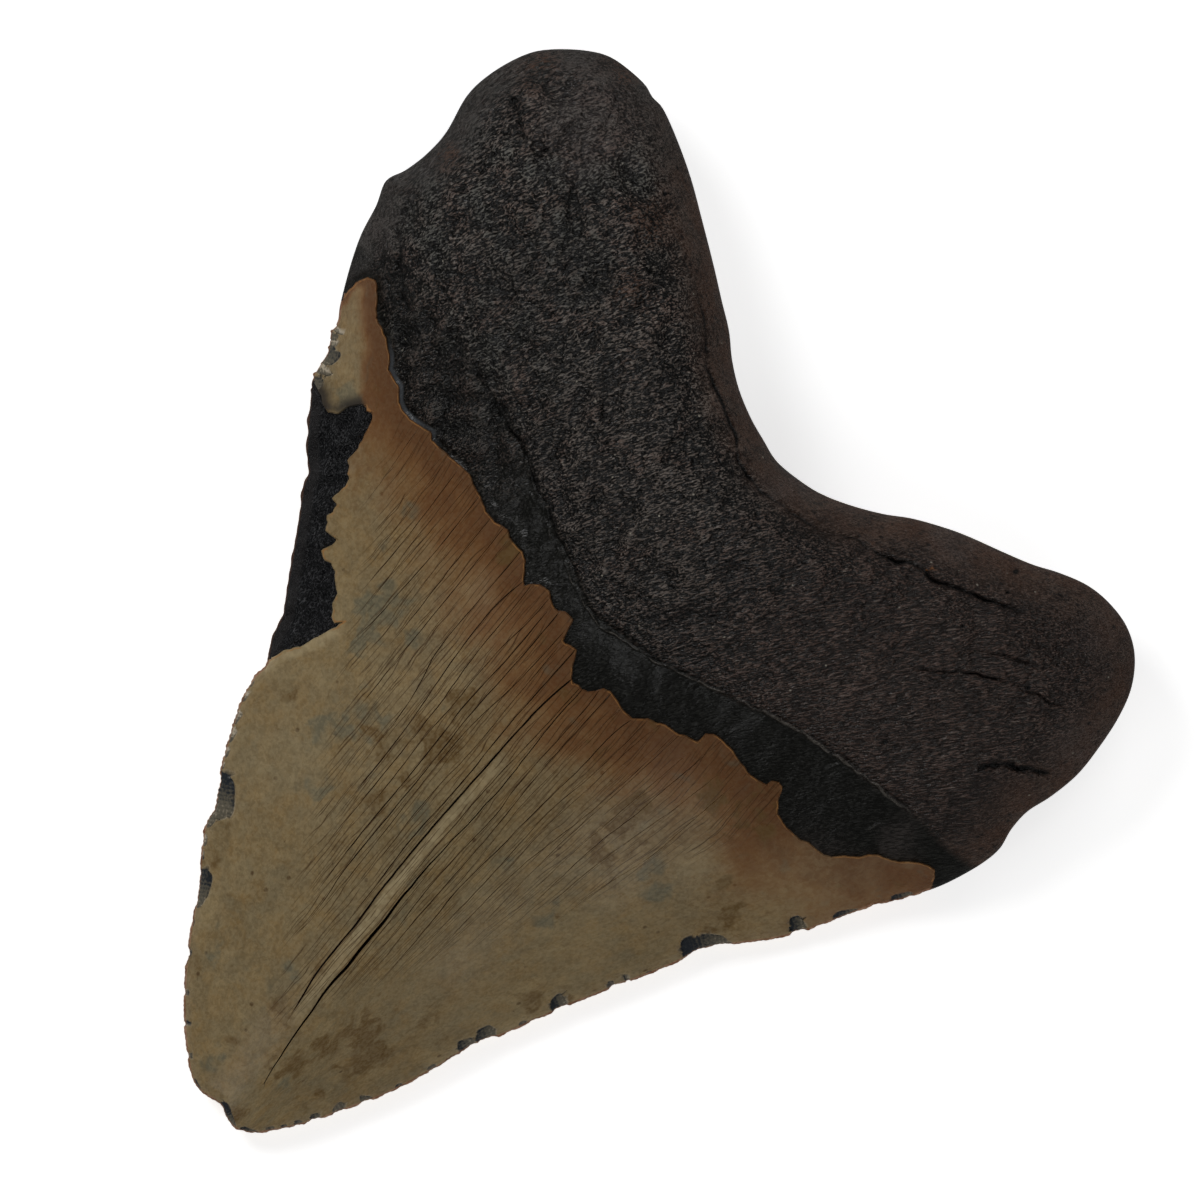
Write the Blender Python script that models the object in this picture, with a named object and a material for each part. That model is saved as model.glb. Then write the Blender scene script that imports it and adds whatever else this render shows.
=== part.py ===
"""A large fossil shark tooth, lying on its flat outer face with the inner face up.

The tooth grew as one piece, so it is one closed solid. Its upper and lower faces are two height
surfaces that meet at the tooth's rim: a thin cutting edge round the crown and a thick rounded
edge round the root. The tip points along -Y, the root along +Y, and +Z is up.
Every length below is in millimetres, and the mesh is scaled to metres at the end.
"""
import bmesh
import bpy
import numpy as np
from mathutils import Vector, kdtree, noise
from mathutils.geometry import delaunay_2d_cdt

METRES_PER_MM = 0.001

# Facet sizes.
RIM_STEP = 1.9
UPPER_GRID = 2.7
LOWER_GRID = 4.4

# The enamel is a shell that stands proud of the dentine and the root.
ENAMEL_THICKNESS = 0.45
ENAMEL_LIP_RUN = 0.28
LOWER_ENAMEL_THICKNESS = 0.3
LOWER_LIP_FADE = 5.0

# The root's bone is gently lumpy.
LUMP_HEIGHT = 0.45
LUMP_SIZE = 6.5

# The tooth's rim, clockwise seen from above: over the root, then round the crown.
ROOT_RIM = [
    (-55.2, 21.9), (-57.4, 26.6), (-59.0, 30.9), (-59.9, 35.1), (-61.0, 38.5), (-59.9, 41.3), (-59.1, 44.9),
    (-59.0, 48.8), (-60.0, 54.3), (-59.4, 58.8), (-57.6, 63.4), (-55.3, 66.3), (-51.4, 69.3), (-48.0, 70.7),
    (-43.1, 70.8), (-40.8, 70.1), (-38.7, 69.8), (-34.9, 68.0), (-29.9, 65.1), (-24.9, 61.6), (-19.9, 58.0),
    (-16.2, 55.2), (-12.7, 52.6), (-9.9, 49.9), (-6.7, 47.5), (-3.1, 45.6), (0.1, 44.4), (3.6, 43.3),
    (8.3, 43.4), (11.5, 44.0), (15.1, 45.3), (18.9, 47.1), (22.4, 49.2), (26.9, 51.2), (30.1, 52.3),
    (34.7, 53.6), (38.6, 54.8), (42.2, 56.3), (46.0, 57.4), (49.7, 57.5), (53.6, 56.6), (56.9, 54.4),
    (59.4, 50.8), (60.7, 46.5), (61.3, 41.5), (61.4, 37.0), (60.6, 32.6), (59.5, 29.0), (59.4, 25.8),
    (59.9, 22.7), (59.3, 19.4), (57.8, 15.3)]
CROWN_RIM = [
    (56.4, 12.5), (54.0, 8.5), (51.9, 6.0), (50.6, 3.5), (48.7, 0.2), (46.9, -2.9), (44.4, -6.3),
    (40.6, -10.5), (38.4, -13.2), (36.9, -16.3), (35.1, -19.9), (32.9, -23.8), (31.0, -27.4), (29.2, -30.7),
    (26.7, -35.9), (24.9, -39.5), (22.8, -43.2), (20.4, -50.0), (18.0, -55.7), (15.0, -61.1), (12.5, -65.4),
    (8.9, -70.0), (7.0, -71.8), (5.0, -72.4), (3.2, -72.0), (1.6, -71.2), (-1.0, -71.5), (-2.7, -71.3),
    (-5.0, -69.8), (-8.9, -66.1), (-12.5, -61.8), (-15.7, -57.1), (-18.4, -52.5), (-20.7, -48.9),
    (-23.8, -44.3), (-25.1, -41.0), (-27.5, -36.4), (-29.8, -31.4), (-31.4, -27.1), (-31.9, -24.0),
    (-31.8, -21.6), (-33.5, -18.4), (-34.4, -15.2), (-36.9, -10.9), (-40.6, -4.5), (-43.3, -0.2),
    (-44.0, 1.8), (-46.0, 3.7), (-49.8, 8.9), (-52.0, 12.2), (-52.6, 15.8), (-53.9, 18.2), (-54.0, 19.9)]

# Where the enamel stops on the upper face: a scalloped ledge above the smooth collar of the root.
ENAMEL_LEDGE = [
    (-55.2, 21.9), (-55.4, 23.6), (-55.2, 25.4), (-54.5, 26.9), (-53.3, 27.1), (-51.9, 25.7), (-50.1, 23.4),
    (-47.4, 22.2), (-45.1, 20.3), (-44.4, 19.2), (-42.1, 18.4), (-40.5, 16.7), (-37.8, 15.9), (-34.6, 16.4),
    (-33.7, 15.7), (-30.8, 15.5), (-27.1, 15.5), (-24.2, 14.1), (-22.1, 13.0), (-18.3, 12.9), (-17.4, 12.3),
    (-14.9, 11.9), (-13.1, 10.3), (-11.8, 8.6), (-11.2, 9.4), (-10.3, 10.1), (-8.7, 10.3), (-8.0, 9.6),
    (-6.0, 9.0), (-5.3, 9.6), (-3.9, 9.4), (-3.2, 6.4), (-1.9, 6.7), (-1.0, 6.6), (0.3, 4.2), (1.7, 2.8),
    (2.4, 3.3), (3.1, 3.0), (4.0, 3.3), (5.3, 5.0), (6.1, 5.3), (8.8, 4.5), (10.8, 4.4), (12.4, 5.7),
    (14.7, 6.7), (16.8, 6.7), (19.5, 7.6), (19.7, 9.1), (21.7, 9.9), (23.8, 9.7), (27.2, 8.8), (30.4, 9.2),
    (30.5, 10.0), (32.0, 10.3), (32.9, 8.2), (35.1, 6.6), (38.6, 6.4), (42.2, 6.9), (44.4, 8.5), (46.3, 9.8),
    (47.9, 11.5), (50.4, 12.5), (52.6, 14.2), (54.6, 14.8), (56.4, 12.5)]

# Where enamel has flaked off the left cutting edge and left the dentine bare.
BARE_PATCH = [
    (-52.0, 12.2), (-50.6, 11.4), (-48.1, 10.1), (-47.1, 9.8), (-46.0, 10.5), (-44.6, 13.2), (-43.1, 13.4),
    (-42.3, 13.6), (-41.4, 11.6), (-40.6, 8.0), (-40.8, 6.4), (-39.6, 5.1), (-38.7, 3.4), (-39.2, 1.2),
    (-38.0, 1.0), (-38.1, -1.1), (-36.9, -2.7), (-34.9, -2.6), (-35.7, -5.1), (-33.5, -5.5), (-31.7, -7.0),
    (-29.9, -9.5), (-28.1, -11.4), (-27.3, -10.6), (-28.0, -13.0), (-29.6, -17.0), (-31.8, -21.6)]

# Where the enamel stops on the lower face.
LOWER_LEDGE = [
    (-55.2, 21.9), (-48.0, 24.5), (-40.0, 25.4), (-30.0, 24.6), (-20.0, 22.8), (-10.0, 20.9), (0.0, 19.7),
    (10.0, 19.4), (20.0, 19.9), (30.0, 20.4), (40.0, 19.9), (49.0, 17.6), (56.4, 12.5)]

# The line between the root's bone and its smooth collar: a furrow on the left, a fine ridge on the right.
ROOT_LINE = [
    (-58.3, 28.9), (-52.0, 29.0), (-45.0, 28.5), (-38.0, 27.2), (-30.3, 24.8), (-24.9, 23.4), (-19.9, 20.4),
    (-14.9, 18.0), (-11.0, 16.0), (-6.0, 13.7), (-2.8, 12.1), (2.6, 12.3), (7.2, 12.5), (12.6, 13.7),
    (18.6, 15.1), (28.3, 17.5), (39.0, 18.4), (48.3, 18.7), (54.0, 18.2), (58.9, 18.6)]

# Points outside the tooth that close each line above into an area.
ROUND_THE_TIP = [(90.0, 0.0), (30.0, -110.0), (-30.0, -110.0), (-90.0, 0.0)]
LEFT_OF_THE_PATCH = [(-60.0, -30.0), (-75.0, 12.0)]
ROUND_THE_ROOT = [(90.0, 20.0), (90.0, 100.0), (-90.0, 100.0), (-90.0, 30.0)]

# Furrows (positive depth) and fine ridges (negative depth): half width, depth, then the line.
FURROWS = [
    (0.9, 0.9, [(-20.5, 54.2), (-17.8, 52.6), (-15.3, 50.5), (-11.7, 46.9), (-9.2, 45.5), (-4.9, 43.4),
                (-2.8, 42.1), (-1.4, 40.9), (0.1, 39.5), (3.6, 38.9), (7.9, 39.0), (11.5, 39.6), (16.0, 40.4)]),
    (0.8, 0.7, [(18.6, 42.0), (22.9, 42.7), (26.5, 44.5), (29.4, 44.4), (34.4, 46.2), (39.7, 48.2),
                (43.5, 50.0)]),
    (0.7, 0.5, [(35.1, 33.4), (39.7, 36.9), (45.1, 40.1), (49.0, 41.2), (55.1, 42.8)]),
    (1.0, 1.3, [(50.1, 29.2), (52.6, 31.4), (55.1, 33.0), (57.0, 34.3), (58.4, 35.2)]),
    (0.9, 0.5, [(-38.0, 27.2), (-30.3, 24.8), (-24.9, 23.4), (-19.9, 20.4), (-14.9, 18.0), (-11.0, 16.0),
                (-6.0, 13.7)]),
    (0.6, -0.35, [(2.6, 12.3), (7.2, 12.5), (12.6, 13.7), (18.6, 15.1), (28.3, 17.5), (39.0, 18.4),
                  (48.3, 18.7)]),
    (0.35, 0.8, [(2.8, -24.0), (2.5, -33.0), (2.7, -38.0), (2.75, -46.0), (2.9, -51.0), (3.2, -56.0),
                 (3.8, -61.5), (4.3, -64.8)])]

# Chips knocked off the cutting edge: centre, length, width, bearing in degrees, depth.
CHIPS = [
    ((52.6, 7.9), 2.4, 1.3, 50, 0.8), ((49.7, 2.9), 1.6, 1.0, 58, 0.7), ((45.6, -2.2), 2.0, 1.5, -60, 0.9),
    ((37.6, -12.3), 3.8, 1.9, 50, 1.1), ((27.9, -31.2), 1.6, 1.4, 60, 0.9), ((22.3, -41.4), 3.4, 1.7, 62, 1.1),
    ((-24.1, -38.9), 3.2, 2.4, -62, 1.1), ((-19.0, -50.4), 2.6, 1.5, -55, 1.0), ((3.4, -71.4), 1.5, 1.2, 0, 0.9),
    ((-52.4, 15.0), 1.8, 1.5, 100, 0.8)]

# Pits in the root: centre, radius, depth.
PITS = [
    ((-44.1, 66.6), 1.0, 0.5), ((-54.4, 57.5), 1.3, 0.6), ((-47.0, 55.2), 1.0, 0.5), ((-25.8, 51.6), 1.0, 0.6),
    ((37.4, 52.5), 1.0, 0.5), ((38.3, 49.6), 0.9, 0.5), ((36.5, 42.3), 0.9, 0.5), ((48.6, 41.6), 1.0, 0.6),
    ((-15.6, 30.5), 1.0, 0.5), ((58.0, 43.3), 0.8, 0.4)]

# Heights of the rim above the surface that the tooth lies on, and how far in its rounding reaches.
RIM_SPOTS = [
    (1.0, -72.0, 3.0, 1.5), (-15.0, -58.0, 2.5, 1.3), (16.0, -59.0, 2.5, 1.3), (-25.0, -41.0, 2.2, 1.3),
    (24.0, -41.0, 2.2, 1.3), (-33.5, -18.0, 2.2, 1.3), (35.0, -20.0, 2.2, 1.3), (-44.0, 1.0, 2.4, 1.4),
    (48.0, 0.0, 2.4, 1.4), (-52.5, 14.0, 3.2, 1.8), (56.4, 12.5, 3.8, 2.2), (-55.2, 21.9, 4.6, 3.0),
    (58.8, 18.0, 5.6, 4.5), (-59.0, 31.0, 7.8, 8.0), (59.5, 27.0, 8.6, 10.0), (-60.8, 38.5, 10.0, 12.0),
    (61.3, 38.0, 10.5, 12.5), (-60.0, 55.0, 10.6, 13.0), (-48.0, 70.5, 10.8, 13.0), (58.0, 53.0, 10.8, 13.0),
    (47.0, 57.5, 11.2, 13.0), (-35.0, 68.0, 11.4, 13.5), (-16.0, 55.0, 12.4, 13.5), (5.0, 43.3, 13.6, 13.0),
    (25.0, 50.5, 12.8, 13.5)]

# Heights of the upper face, under the enamel, over the whole tooth.
UPPER_SPOTS = [
    (1.0, -72.0, 4.4), (1.5, -66.0, 7.0), (1.5, -55.0, 10.6), (2.0, -40.0, 14.2), (2.0, -25.0, 17.0),
    (3.0, -10.0, 19.2), (3.0, 1.0, 20.5), (3.0, 8.0, 21.5), (3.0, 13.0, 23.6), (4.0, 20.0, 26.6),
    (4.0, 28.0, 28.6), (5.0, 35.0, 28.4), (5.0, 41.0, 27.0), (8.9, -70.0, 3.9), (-7.0, -68.0, 3.9),
    (15.0, -61.0, 3.5), (-13.5, -60.5, 3.5), (20.5, -50.0, 3.3), (-20.0, -50.0, 3.3), (24.8, -39.5, 3.2),
    (-26.0, -39.5, 3.2), (31.0, -27.4, 3.2), (-31.5, -26.0, 3.2), (36.0, -18.0, 3.2), (-34.0, -17.0, 3.1),
    (41.5, -9.5, 3.2), (-39.0, -7.5, 3.1), (48.3, 0.0, 3.4), (-43.5, 0.5, 3.2), (53.0, 7.5, 3.8),
    (-49.5, 9.0, 3.6), (56.4, 12.5, 5.4), (-53.8, 18.5, 5.2), (-55.2, 21.9, 6.4), (11.0, -57.0, 7.3),
    (-9.0, -57.0, 7.3), (17.5, -40.0, 8.6), (12.0, -40.0, 11.8), (-18.0, -40.0, 8.2), (-11.0, -40.0, 11.6),
    (27.0, -20.0, 9.0), (18.0, -20.0, 13.8), (-24.0, -20.0, 9.0), (-15.0, -20.0, 13.9), (39.0, 0.0, 8.8),
    (25.0, 0.0, 15.2), (13.0, 0.0, 19.0), (-34.0, 0.0, 8.9), (-20.0, 0.0, 15.5), (-8.0, 0.0, 19.6),
    (45.0, 8.0, 10.0), (34.0, 9.0, 14.6), (20.0, 11.0, 20.0), (-44.0, 12.0, 8.8), (-34.0, 14.0, 14.6),
    (-20.0, 13.0, 19.2), (-10.0, 12.0, 21.4), (51.0, 17.0, 12.6), (40.0, 18.0, 18.4), (24.0, 18.5, 23.6),
    (-50.0, 22.0, 11.4), (-40.0, 21.0, 16.2), (-27.0, 22.0, 20.8), (-14.0, 21.0, 24.6), (-54.0, 31.0, 15.0),
    (-42.0, 30.0, 20.4), (-26.0, 31.0, 24.2), (-12.0, 31.0, 27.2), (55.0, 26.0, 16.0), (44.0, 28.0, 21.2),
    (30.0, 29.0, 24.8), (17.0, 30.0, 27.4), (-57.0, 41.0, 18.2), (-46.0, 42.0, 22.2), (-30.0, 42.0, 25.2),
    (-14.0, 41.0, 27.0), (57.0, 38.0, 18.6), (46.0, 38.0, 21.9), (32.0, 40.0, 24.8), (18.0, 40.0, 26.8),
    (-56.0, 54.0, 18.8), (-46.0, 55.0, 21.8), (-32.0, 54.0, 24.2), (-20.0, 50.0, 25.8), (55.0, 49.0, 19.0),
    (44.0, 50.0, 21.6), (30.0, 49.0, 24.0), (-48.0, 67.0, 18.6), (-38.0, 65.0, 20.4), (48.0, 56.0, 19.6),
    (-12.0, 52.0, 24.6), (20.0, 47.5, 25.0)]

# Heights of the lower face. Three places fall below zero, and are cut flat at zero to rest on.
LOWER_SPOTS = [
    (1.0, -72.0, 2.4), (-14.0, -60.0, 1.7), (14.5, -61.5, 1.7), (-25.0, -41.0, 1.4), (24.0, -41.0, 1.4),
    (-33.0, -18.0, 1.4), (35.5, -18.0, 1.4), (-44.0, 1.0, 1.5), (48.0, 0.0, 1.5), (-53.0, 15.0, 1.6),
    (56.0, 12.5, 1.7), (2.0, -55.0, 0.7), (2.0, -42.0, 0.0), (2.0, -28.0, -0.4), (1.0, -12.0, -0.5),
    (0.0, 2.0, -0.2), (17.0, -12.0, 0.1), (-15.0, -12.0, 0.1), (12.0, -40.0, 0.6), (-10.0, -40.0, 0.6),
    (35.0, 3.0, 0.6), (-31.0, 3.0, 0.6), (0.0, 14.0, 0.5), (25.0, 13.0, 0.4), (-25.0, 14.0, 0.4),
    (0.0, 24.0, 1.0), (4.0, 38.0, 1.6), (24.0, 32.0, 0.6), (-22.0, 38.0, 0.6), (-44.0, 47.0, -0.5),
    (-52.0, 58.0, 0.0), (-56.0, 38.0, 0.3), (-42.0, 62.0, 0.0), (46.0, 39.0, -0.5), (55.0, 47.0, 0.0),
    (44.0, 52.0, 0.0), (56.0, 28.0, 0.5), (-50.0, 28.0, 0.7)]


def clear_scene():
    """Start from an empty scene."""
    for item in list(bpy.data.objects):
        bpy.data.objects.remove(item, do_unlink=True)


def walk(line, step, closed=False):
    """Points about one step apart on a smooth curve through the given points."""
    line = np.array(line, dtype=float)
    count = len(line)
    spans = count if closed else count - 1
    found = []
    for i in range(spans):
        if closed:
            before, here, there, after = (line[(i + k) % count] for k in (-1, 0, 1, 2))
        else:
            before, here, there, after = (line[min(max(i + k, 0), count - 1)] for k in (-1, 0, 1, 2))
        pieces = max(1, int(round(np.linalg.norm(there - here) / step)))
        for k in range(pieces):
            t = k / pieces
            bend = 2 * here + (there - before) * t
            bend += (2 * before - 5 * here + 4 * there - after) * t ** 2
            bend += (3 * here - before - 3 * there + after) * t ** 3
            found.append(bend / 2)
    if not closed:
        found.append(line[-1])
    return np.array(found)


def line_distance(points, line):
    """How far each point is from a line, and how far along the line the nearest place is, 0 to 1."""
    line = np.array(line, dtype=float)
    lengths = np.linalg.norm(line[1:] - line[:-1], axis=1)
    starts = np.append(0, np.cumsum(lengths))
    nearest = np.full(len(points), 1e9)
    along = np.zeros(len(points))
    for i, length in enumerate(lengths):
        step = line[i + 1] - line[i]
        t = np.clip((points - line[i]) @ step / length ** 2, 0, 1)
        distance = np.linalg.norm(points - line[i] - t[:, None] * step, axis=1)
        closer = distance < nearest
        nearest[closer] = distance[closer]
        along[closer] = (starts[i] + t[closer] * length) / starts[-1]
    return nearest, along


def inside(points, area):
    """Which points lie inside a closed area."""
    area = np.array(area, dtype=float)
    x, y = points[:, 0], points[:, 1]
    found = np.zeros(len(points), dtype=bool)
    for (x0, y0), (x1, y1) in zip(area, np.roll(area, -1, axis=0)):
        if y0 != y1:
            crosses = (y0 > y) != (y1 > y)
            found ^= crosses & (x < (x1 - x0) * (y - y0) / (y1 - y0) + x0)
    return found


def reach_inside(points, line, closing):
    """Distance from a line, positive inside the area that it and its closing points go round."""
    distance = line_distance(points, line)[0]
    return np.where(inside(points, list(line) + closing), distance, -distance)


def thin_plate(spots, column):
    """The smoothest surface through every spot's height in the given column."""
    spots = np.array(spots, dtype=float)
    ground = spots[:, :2]
    count = len(spots)

    def stiffness(points):
        gap = np.linalg.norm(points[:, None, :] - ground[None, :, :], axis=2)
        return gap ** 2 * np.log(np.maximum(gap, 1e-9))

    system = np.zeros((count + 3, count + 3))
    system[:count, :count] = stiffness(ground)
    system[:count, count] = 1
    system[:count, count + 1:] = ground
    system[count:, :count] = system[:count, count:].T
    weights = np.linalg.solve(system, np.append(spots[:, column], [0, 0, 0]))

    def height(points):
        return stiffness(points) @ weights[:count] + weights[count] + points @ weights[count + 1:]

    return height


RIM = walk(ROOT_RIM + CROWN_RIM, RIM_STEP, closed=True)
RIM_LOOP = np.vstack([RIM, RIM[:1]])
# The middle of the rim's box, which becomes the part's origin.
MIDDLE = (RIM.min(axis=0) + RIM.max(axis=0)) / 2
rim_height = thin_plate(RIM_SPOTS, 2)
rim_reach = thin_plate(RIM_SPOTS, 3)
upper_form = thin_plate(UPPER_SPOTS, 2)
lower_form = thin_plate(LOWER_SPOTS, 2)


def smooth_step(value, low, high):
    """Rise from 0 to 1 between low and high with no corners."""
    t = np.clip((value - low) / (high - low), 0, 1)
    return t * t * (3 - 2 * t)


def roll_over(distance, reach):
    """A quarter round: 0 at the rim, rising steeply and then levelling to 1 at its reach."""
    t = np.clip(distance / reach, 0, 1)
    return np.sqrt(1 - (1 - t) ** 2)


def enamel_cover(points):
    """Distance inside the enamel's edge on the upper face; negative where there is no enamel."""
    crown = reach_inside(points, ENAMEL_LEDGE, ROUND_THE_TIP)
    bare = reach_inside(points, BARE_PATCH, LEFT_OF_THE_PATCH)
    return np.minimum(crown, -bare)


def lumps(points, size):
    """Soft lumps between -1 and 1."""
    return np.array([noise.noise(Vector((x / size, y / size, 0.0))) for x, y in points])


def furrow_depth(points):
    """Depth of the furrows, tapered to nothing at both ends of each line."""
    depth = np.zeros(len(points))
    for half_width, deepest, line in FURROWS:
        distance, along = line_distance(points, line)
        taper = np.sqrt(np.clip(4 * along * (1 - along), 0, 1))
        depth += deepest * taper * np.clip(1 - distance / half_width, 0, 1)
    return depth


def scoop_depth(points):
    """Depth of the chips in the cutting edge and of the pits in the root."""
    depth = np.zeros(len(points))
    ovals = CHIPS + [(centre, radius, radius, 0, deepest) for centre, radius, deepest in PITS]
    for centre, length, width, bearing, deepest in ovals:
        turn = np.radians(bearing)
        offset = points - np.array(centre)
        lengthwise = (offset[:, 0] * np.cos(turn) + offset[:, 1] * np.sin(turn)) / length
        crosswise = (offset[:, 1] * np.cos(turn) - offset[:, 0] * np.sin(turn)) / width
        depth = np.maximum(depth, deepest * np.clip(1 - lengthwise ** 2 - crosswise ** 2, 0, 1) ** 0.6)
    return depth


def upper_height(points):
    """Height of the upper face."""
    distance = line_distance(points, RIM_LOOP)[0]
    rim = rim_height(points)
    bone = smooth_step(reach_inside(points, ROOT_LINE, ROUND_THE_ROOT), 0, 5)
    form = upper_form(points) + LUMP_HEIGHT * bone * lumps(points, LUMP_SIZE)
    form += ENAMEL_THICKNESS * smooth_step(enamel_cover(points), -ENAMEL_LIP_RUN, 0)
    form = np.maximum(form - furrow_depth(points) - scoop_depth(points), rim + 0.2)
    return rim + (form - rim) * roll_over(distance, rim_reach(points))


def lower_height(points):
    """Height of the lower face, cut flat where it would fall below zero."""
    distance = line_distance(points, RIM_LOOP)[0]
    rim = rim_height(points)
    past_enamel = -reach_inside(points, LOWER_LEDGE, ROUND_THE_TIP)
    ledge = LOWER_ENAMEL_THICKNESS * smooth_step(past_enamel, 0, ENAMEL_LIP_RUN)
    ledge *= 1 - smooth_step(past_enamel, ENAMEL_LIP_RUN, LOWER_LIP_FADE)
    form = np.maximum(lower_form(points) + ledge, 0)
    return rim + (form - rim) * roll_over(distance, 0.9 * rim_reach(points))


def offset_line(line, shift):
    """The same line moved sideways; a positive shift is to the left of its direction."""
    ahead = np.gradient(line, axis=0)
    ahead /= np.linalg.norm(ahead, axis=1)[:, None]
    return line + shift * np.stack([-ahead[:, 1], ahead[:, 0]], axis=1)


def rim_rings():
    """Rows of points inside the rim, close together where the surface rolls over."""
    inward = -offset_line(RIM_LOOP, 1.0)[:-1] + RIM
    rows = []
    for i, (spot, reach) in enumerate(zip(RIM, rim_reach(RIM))):
        shares = (0.08, 0.26, 0.52, 0.8) if reach > 5 else (0.3, 1.0)
        for k, share in enumerate(shares):
            if i % (1 + k // 2) == 0:
                rows.append((*(spot + inward[i] * reach * share), reach * share))
    rows = np.array(rows)
    clear = line_distance(rows[:, :2], RIM_LOOP)[0] > 0.93 * rows[:, 2]
    return rows[clear & inside(rows[:, :2], RIM), :2]


def grid(step):
    """A staggered grid of points over the whole tooth."""
    found = []
    for row, y in enumerate(np.arange(-75, 75, step * 0.866)):
        for x in np.arange(-64 + step / 2 * (row % 2), 64, step):
            found.append((x, y))
    return np.array(found)


def away_from(points, placed, gap):
    """The points that are at least a gap away from all those already placed."""
    tree = kdtree.KDTree(len(placed))
    for i, (x, y) in enumerate(placed):
        tree.insert((x, y, 0.0), i)
    tree.balance()
    return points[[tree.find((x, y, 0.0))[2] > gap for x, y in points]]


def sheet(lines, step):
    """Triangles over the tooth's outline that follow every given line."""
    points = list(RIM)
    edges = [(i, (i + 1) % len(RIM)) for i in range(len(RIM))]
    for line in lines:
        first = len(points)
        points.extend(line)
        edges.extend((first + i, first + i + 1) for i in range(len(line) - 1))
    placed = np.array(points)
    rings = away_from(rim_rings(), placed, 0.75)
    placed = np.vstack([placed, rings])
    fill = grid(step)
    rolled = line_distance(fill, RIM_LOOP)[0] > 0.45 * step
    fill = away_from(fill[rolled & inside(fill, RIM)], placed, 0.62 * step)
    flat = [Vector(spot) for spot in np.vstack([placed, fill])]
    spots, _, faces, _, _, _ = delaunay_2d_cdt(flat, edges, [], 1, 1e-5, False)
    spots = np.array([tuple(spot) for spot in spots])
    faces = np.array([tuple(face) for face in faces])
    kept = inside(spots[faces].mean(axis=1), RIM)
    return spots, faces[kept]


def upper_lines():
    """The lines that the upper face's triangles follow: ledges, furrows and chips."""
    lines = []
    for edge, side in ((ENAMEL_LEDGE, 1), (BARE_PATCH, -1)):
        edge = np.array(edge)
        lines.append(edge[1:-1])
        lines.append(offset_line(edge, side * ENAMEL_LIP_RUN)[1:-1])
    for half_width, _, line in FURROWS:
        line = walk(line, 1.6)
        lines.append(line)
        lines.append(offset_line(line, half_width)[1:-1])
        lines.append(offset_line(line, -half_width)[1:-1])
    return lines


def scoop_points():
    """Extra points in and round every chip and pit."""
    rows = []
    ovals = CHIPS + [(centre, radius, radius, 0, deepest) for centre, radius, deepest in PITS]
    for (x, y), length, width, bearing, _ in ovals:
        turn = np.radians(bearing)
        for share, count in ((0.0, 1), (0.6, 5), (1.0, 8)):
            for angle in np.arange(count) * 2 * np.pi / count:
                ahead = share * length * np.cos(angle)
                aside = share * width * np.sin(angle)
                rows.append((x + ahead * np.cos(turn) - aside * np.sin(turn),
                             y + ahead * np.sin(turn) + aside * np.cos(turn)))
    rows = np.array(rows)
    return rows[inside(rows, RIM) & (line_distance(rows, RIM_LOOP)[0] > 0.5)]


def solid_mesh():
    """Join the upper and lower faces along the rim they share."""
    lower_edge = walk(LOWER_LEDGE, 3.0)[1:-1]
    lower_foot = offset_line(lower_edge, ENAMEL_LIP_RUN)
    upper, upper_faces = sheet(upper_lines() + [[spot] for spot in scoop_points()], UPPER_GRID)
    lower, lower_faces = sheet([lower_edge, lower_foot], LOWER_GRID)
    builder = bmesh.new()
    shared = {}
    for spots, faces, height in ((upper, upper_faces, upper_height), (lower, lower_faces, lower_height)):
        corners = []
        on_rim = line_distance(spots, RIM_LOOP)[0] < 1e-4
        for (x, y), z, edge in zip(spots, height(spots), on_rim):
            place = (round(float(x), 3), round(float(y), 3))
            if edge and place in shared:
                corners.append(shared[place])
                continue
            corner = builder.verts.new(Vector((x - MIDDLE[0], y - MIDDLE[1], z)) * METRES_PER_MM)
            corners.append(corner)
            if edge:
                shared[place] = corner
        for face in faces:
            order = face if height is upper_height else face[::-1]
            builder.faces.new([corners[i] for i in order])
    bmesh.ops.recalc_face_normals(builder, faces=builder.faces)
    mesh = bpy.data.meshes.new("tooth")
    builder.to_mesh(mesh)
    builder.free()
    return mesh


def fossil_material():
    """Brown mineralised enamel over near-black bone, as one plain colour."""
    material = bpy.data.materials.new("tooth")
    material.use_nodes = True
    shader = material.node_tree.nodes["Principled BSDF"]
    shader.inputs["Base Color"].default_value = (0.12, 0.09, 0.06, 1.0)
    shader.inputs["Roughness"].default_value = 0.45
    return material


def main():
    clear_scene()
    tooth = bpy.data.objects.new("tooth", solid_mesh())
    tooth.data.materials.append(fossil_material())
    bpy.context.collection.objects.link(tooth)


main()
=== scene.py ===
# %% [markdown]
# # A large fossil shark tooth
# The real tooth lay in sediment for millions of years. Minerals filled it and coloured it: the enamel
# of the crown turned brown and tan, and the bone of the root turned almost black.
# The imported model gives its size and its plain shape. This script makes the fine surface over it.
# Work starts by loading that model as a fixed frame.

import bpy
import numpy as np
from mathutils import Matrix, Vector, kdtree, noise
from mathutils.geometry import delaunay_2d_cdt


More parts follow.
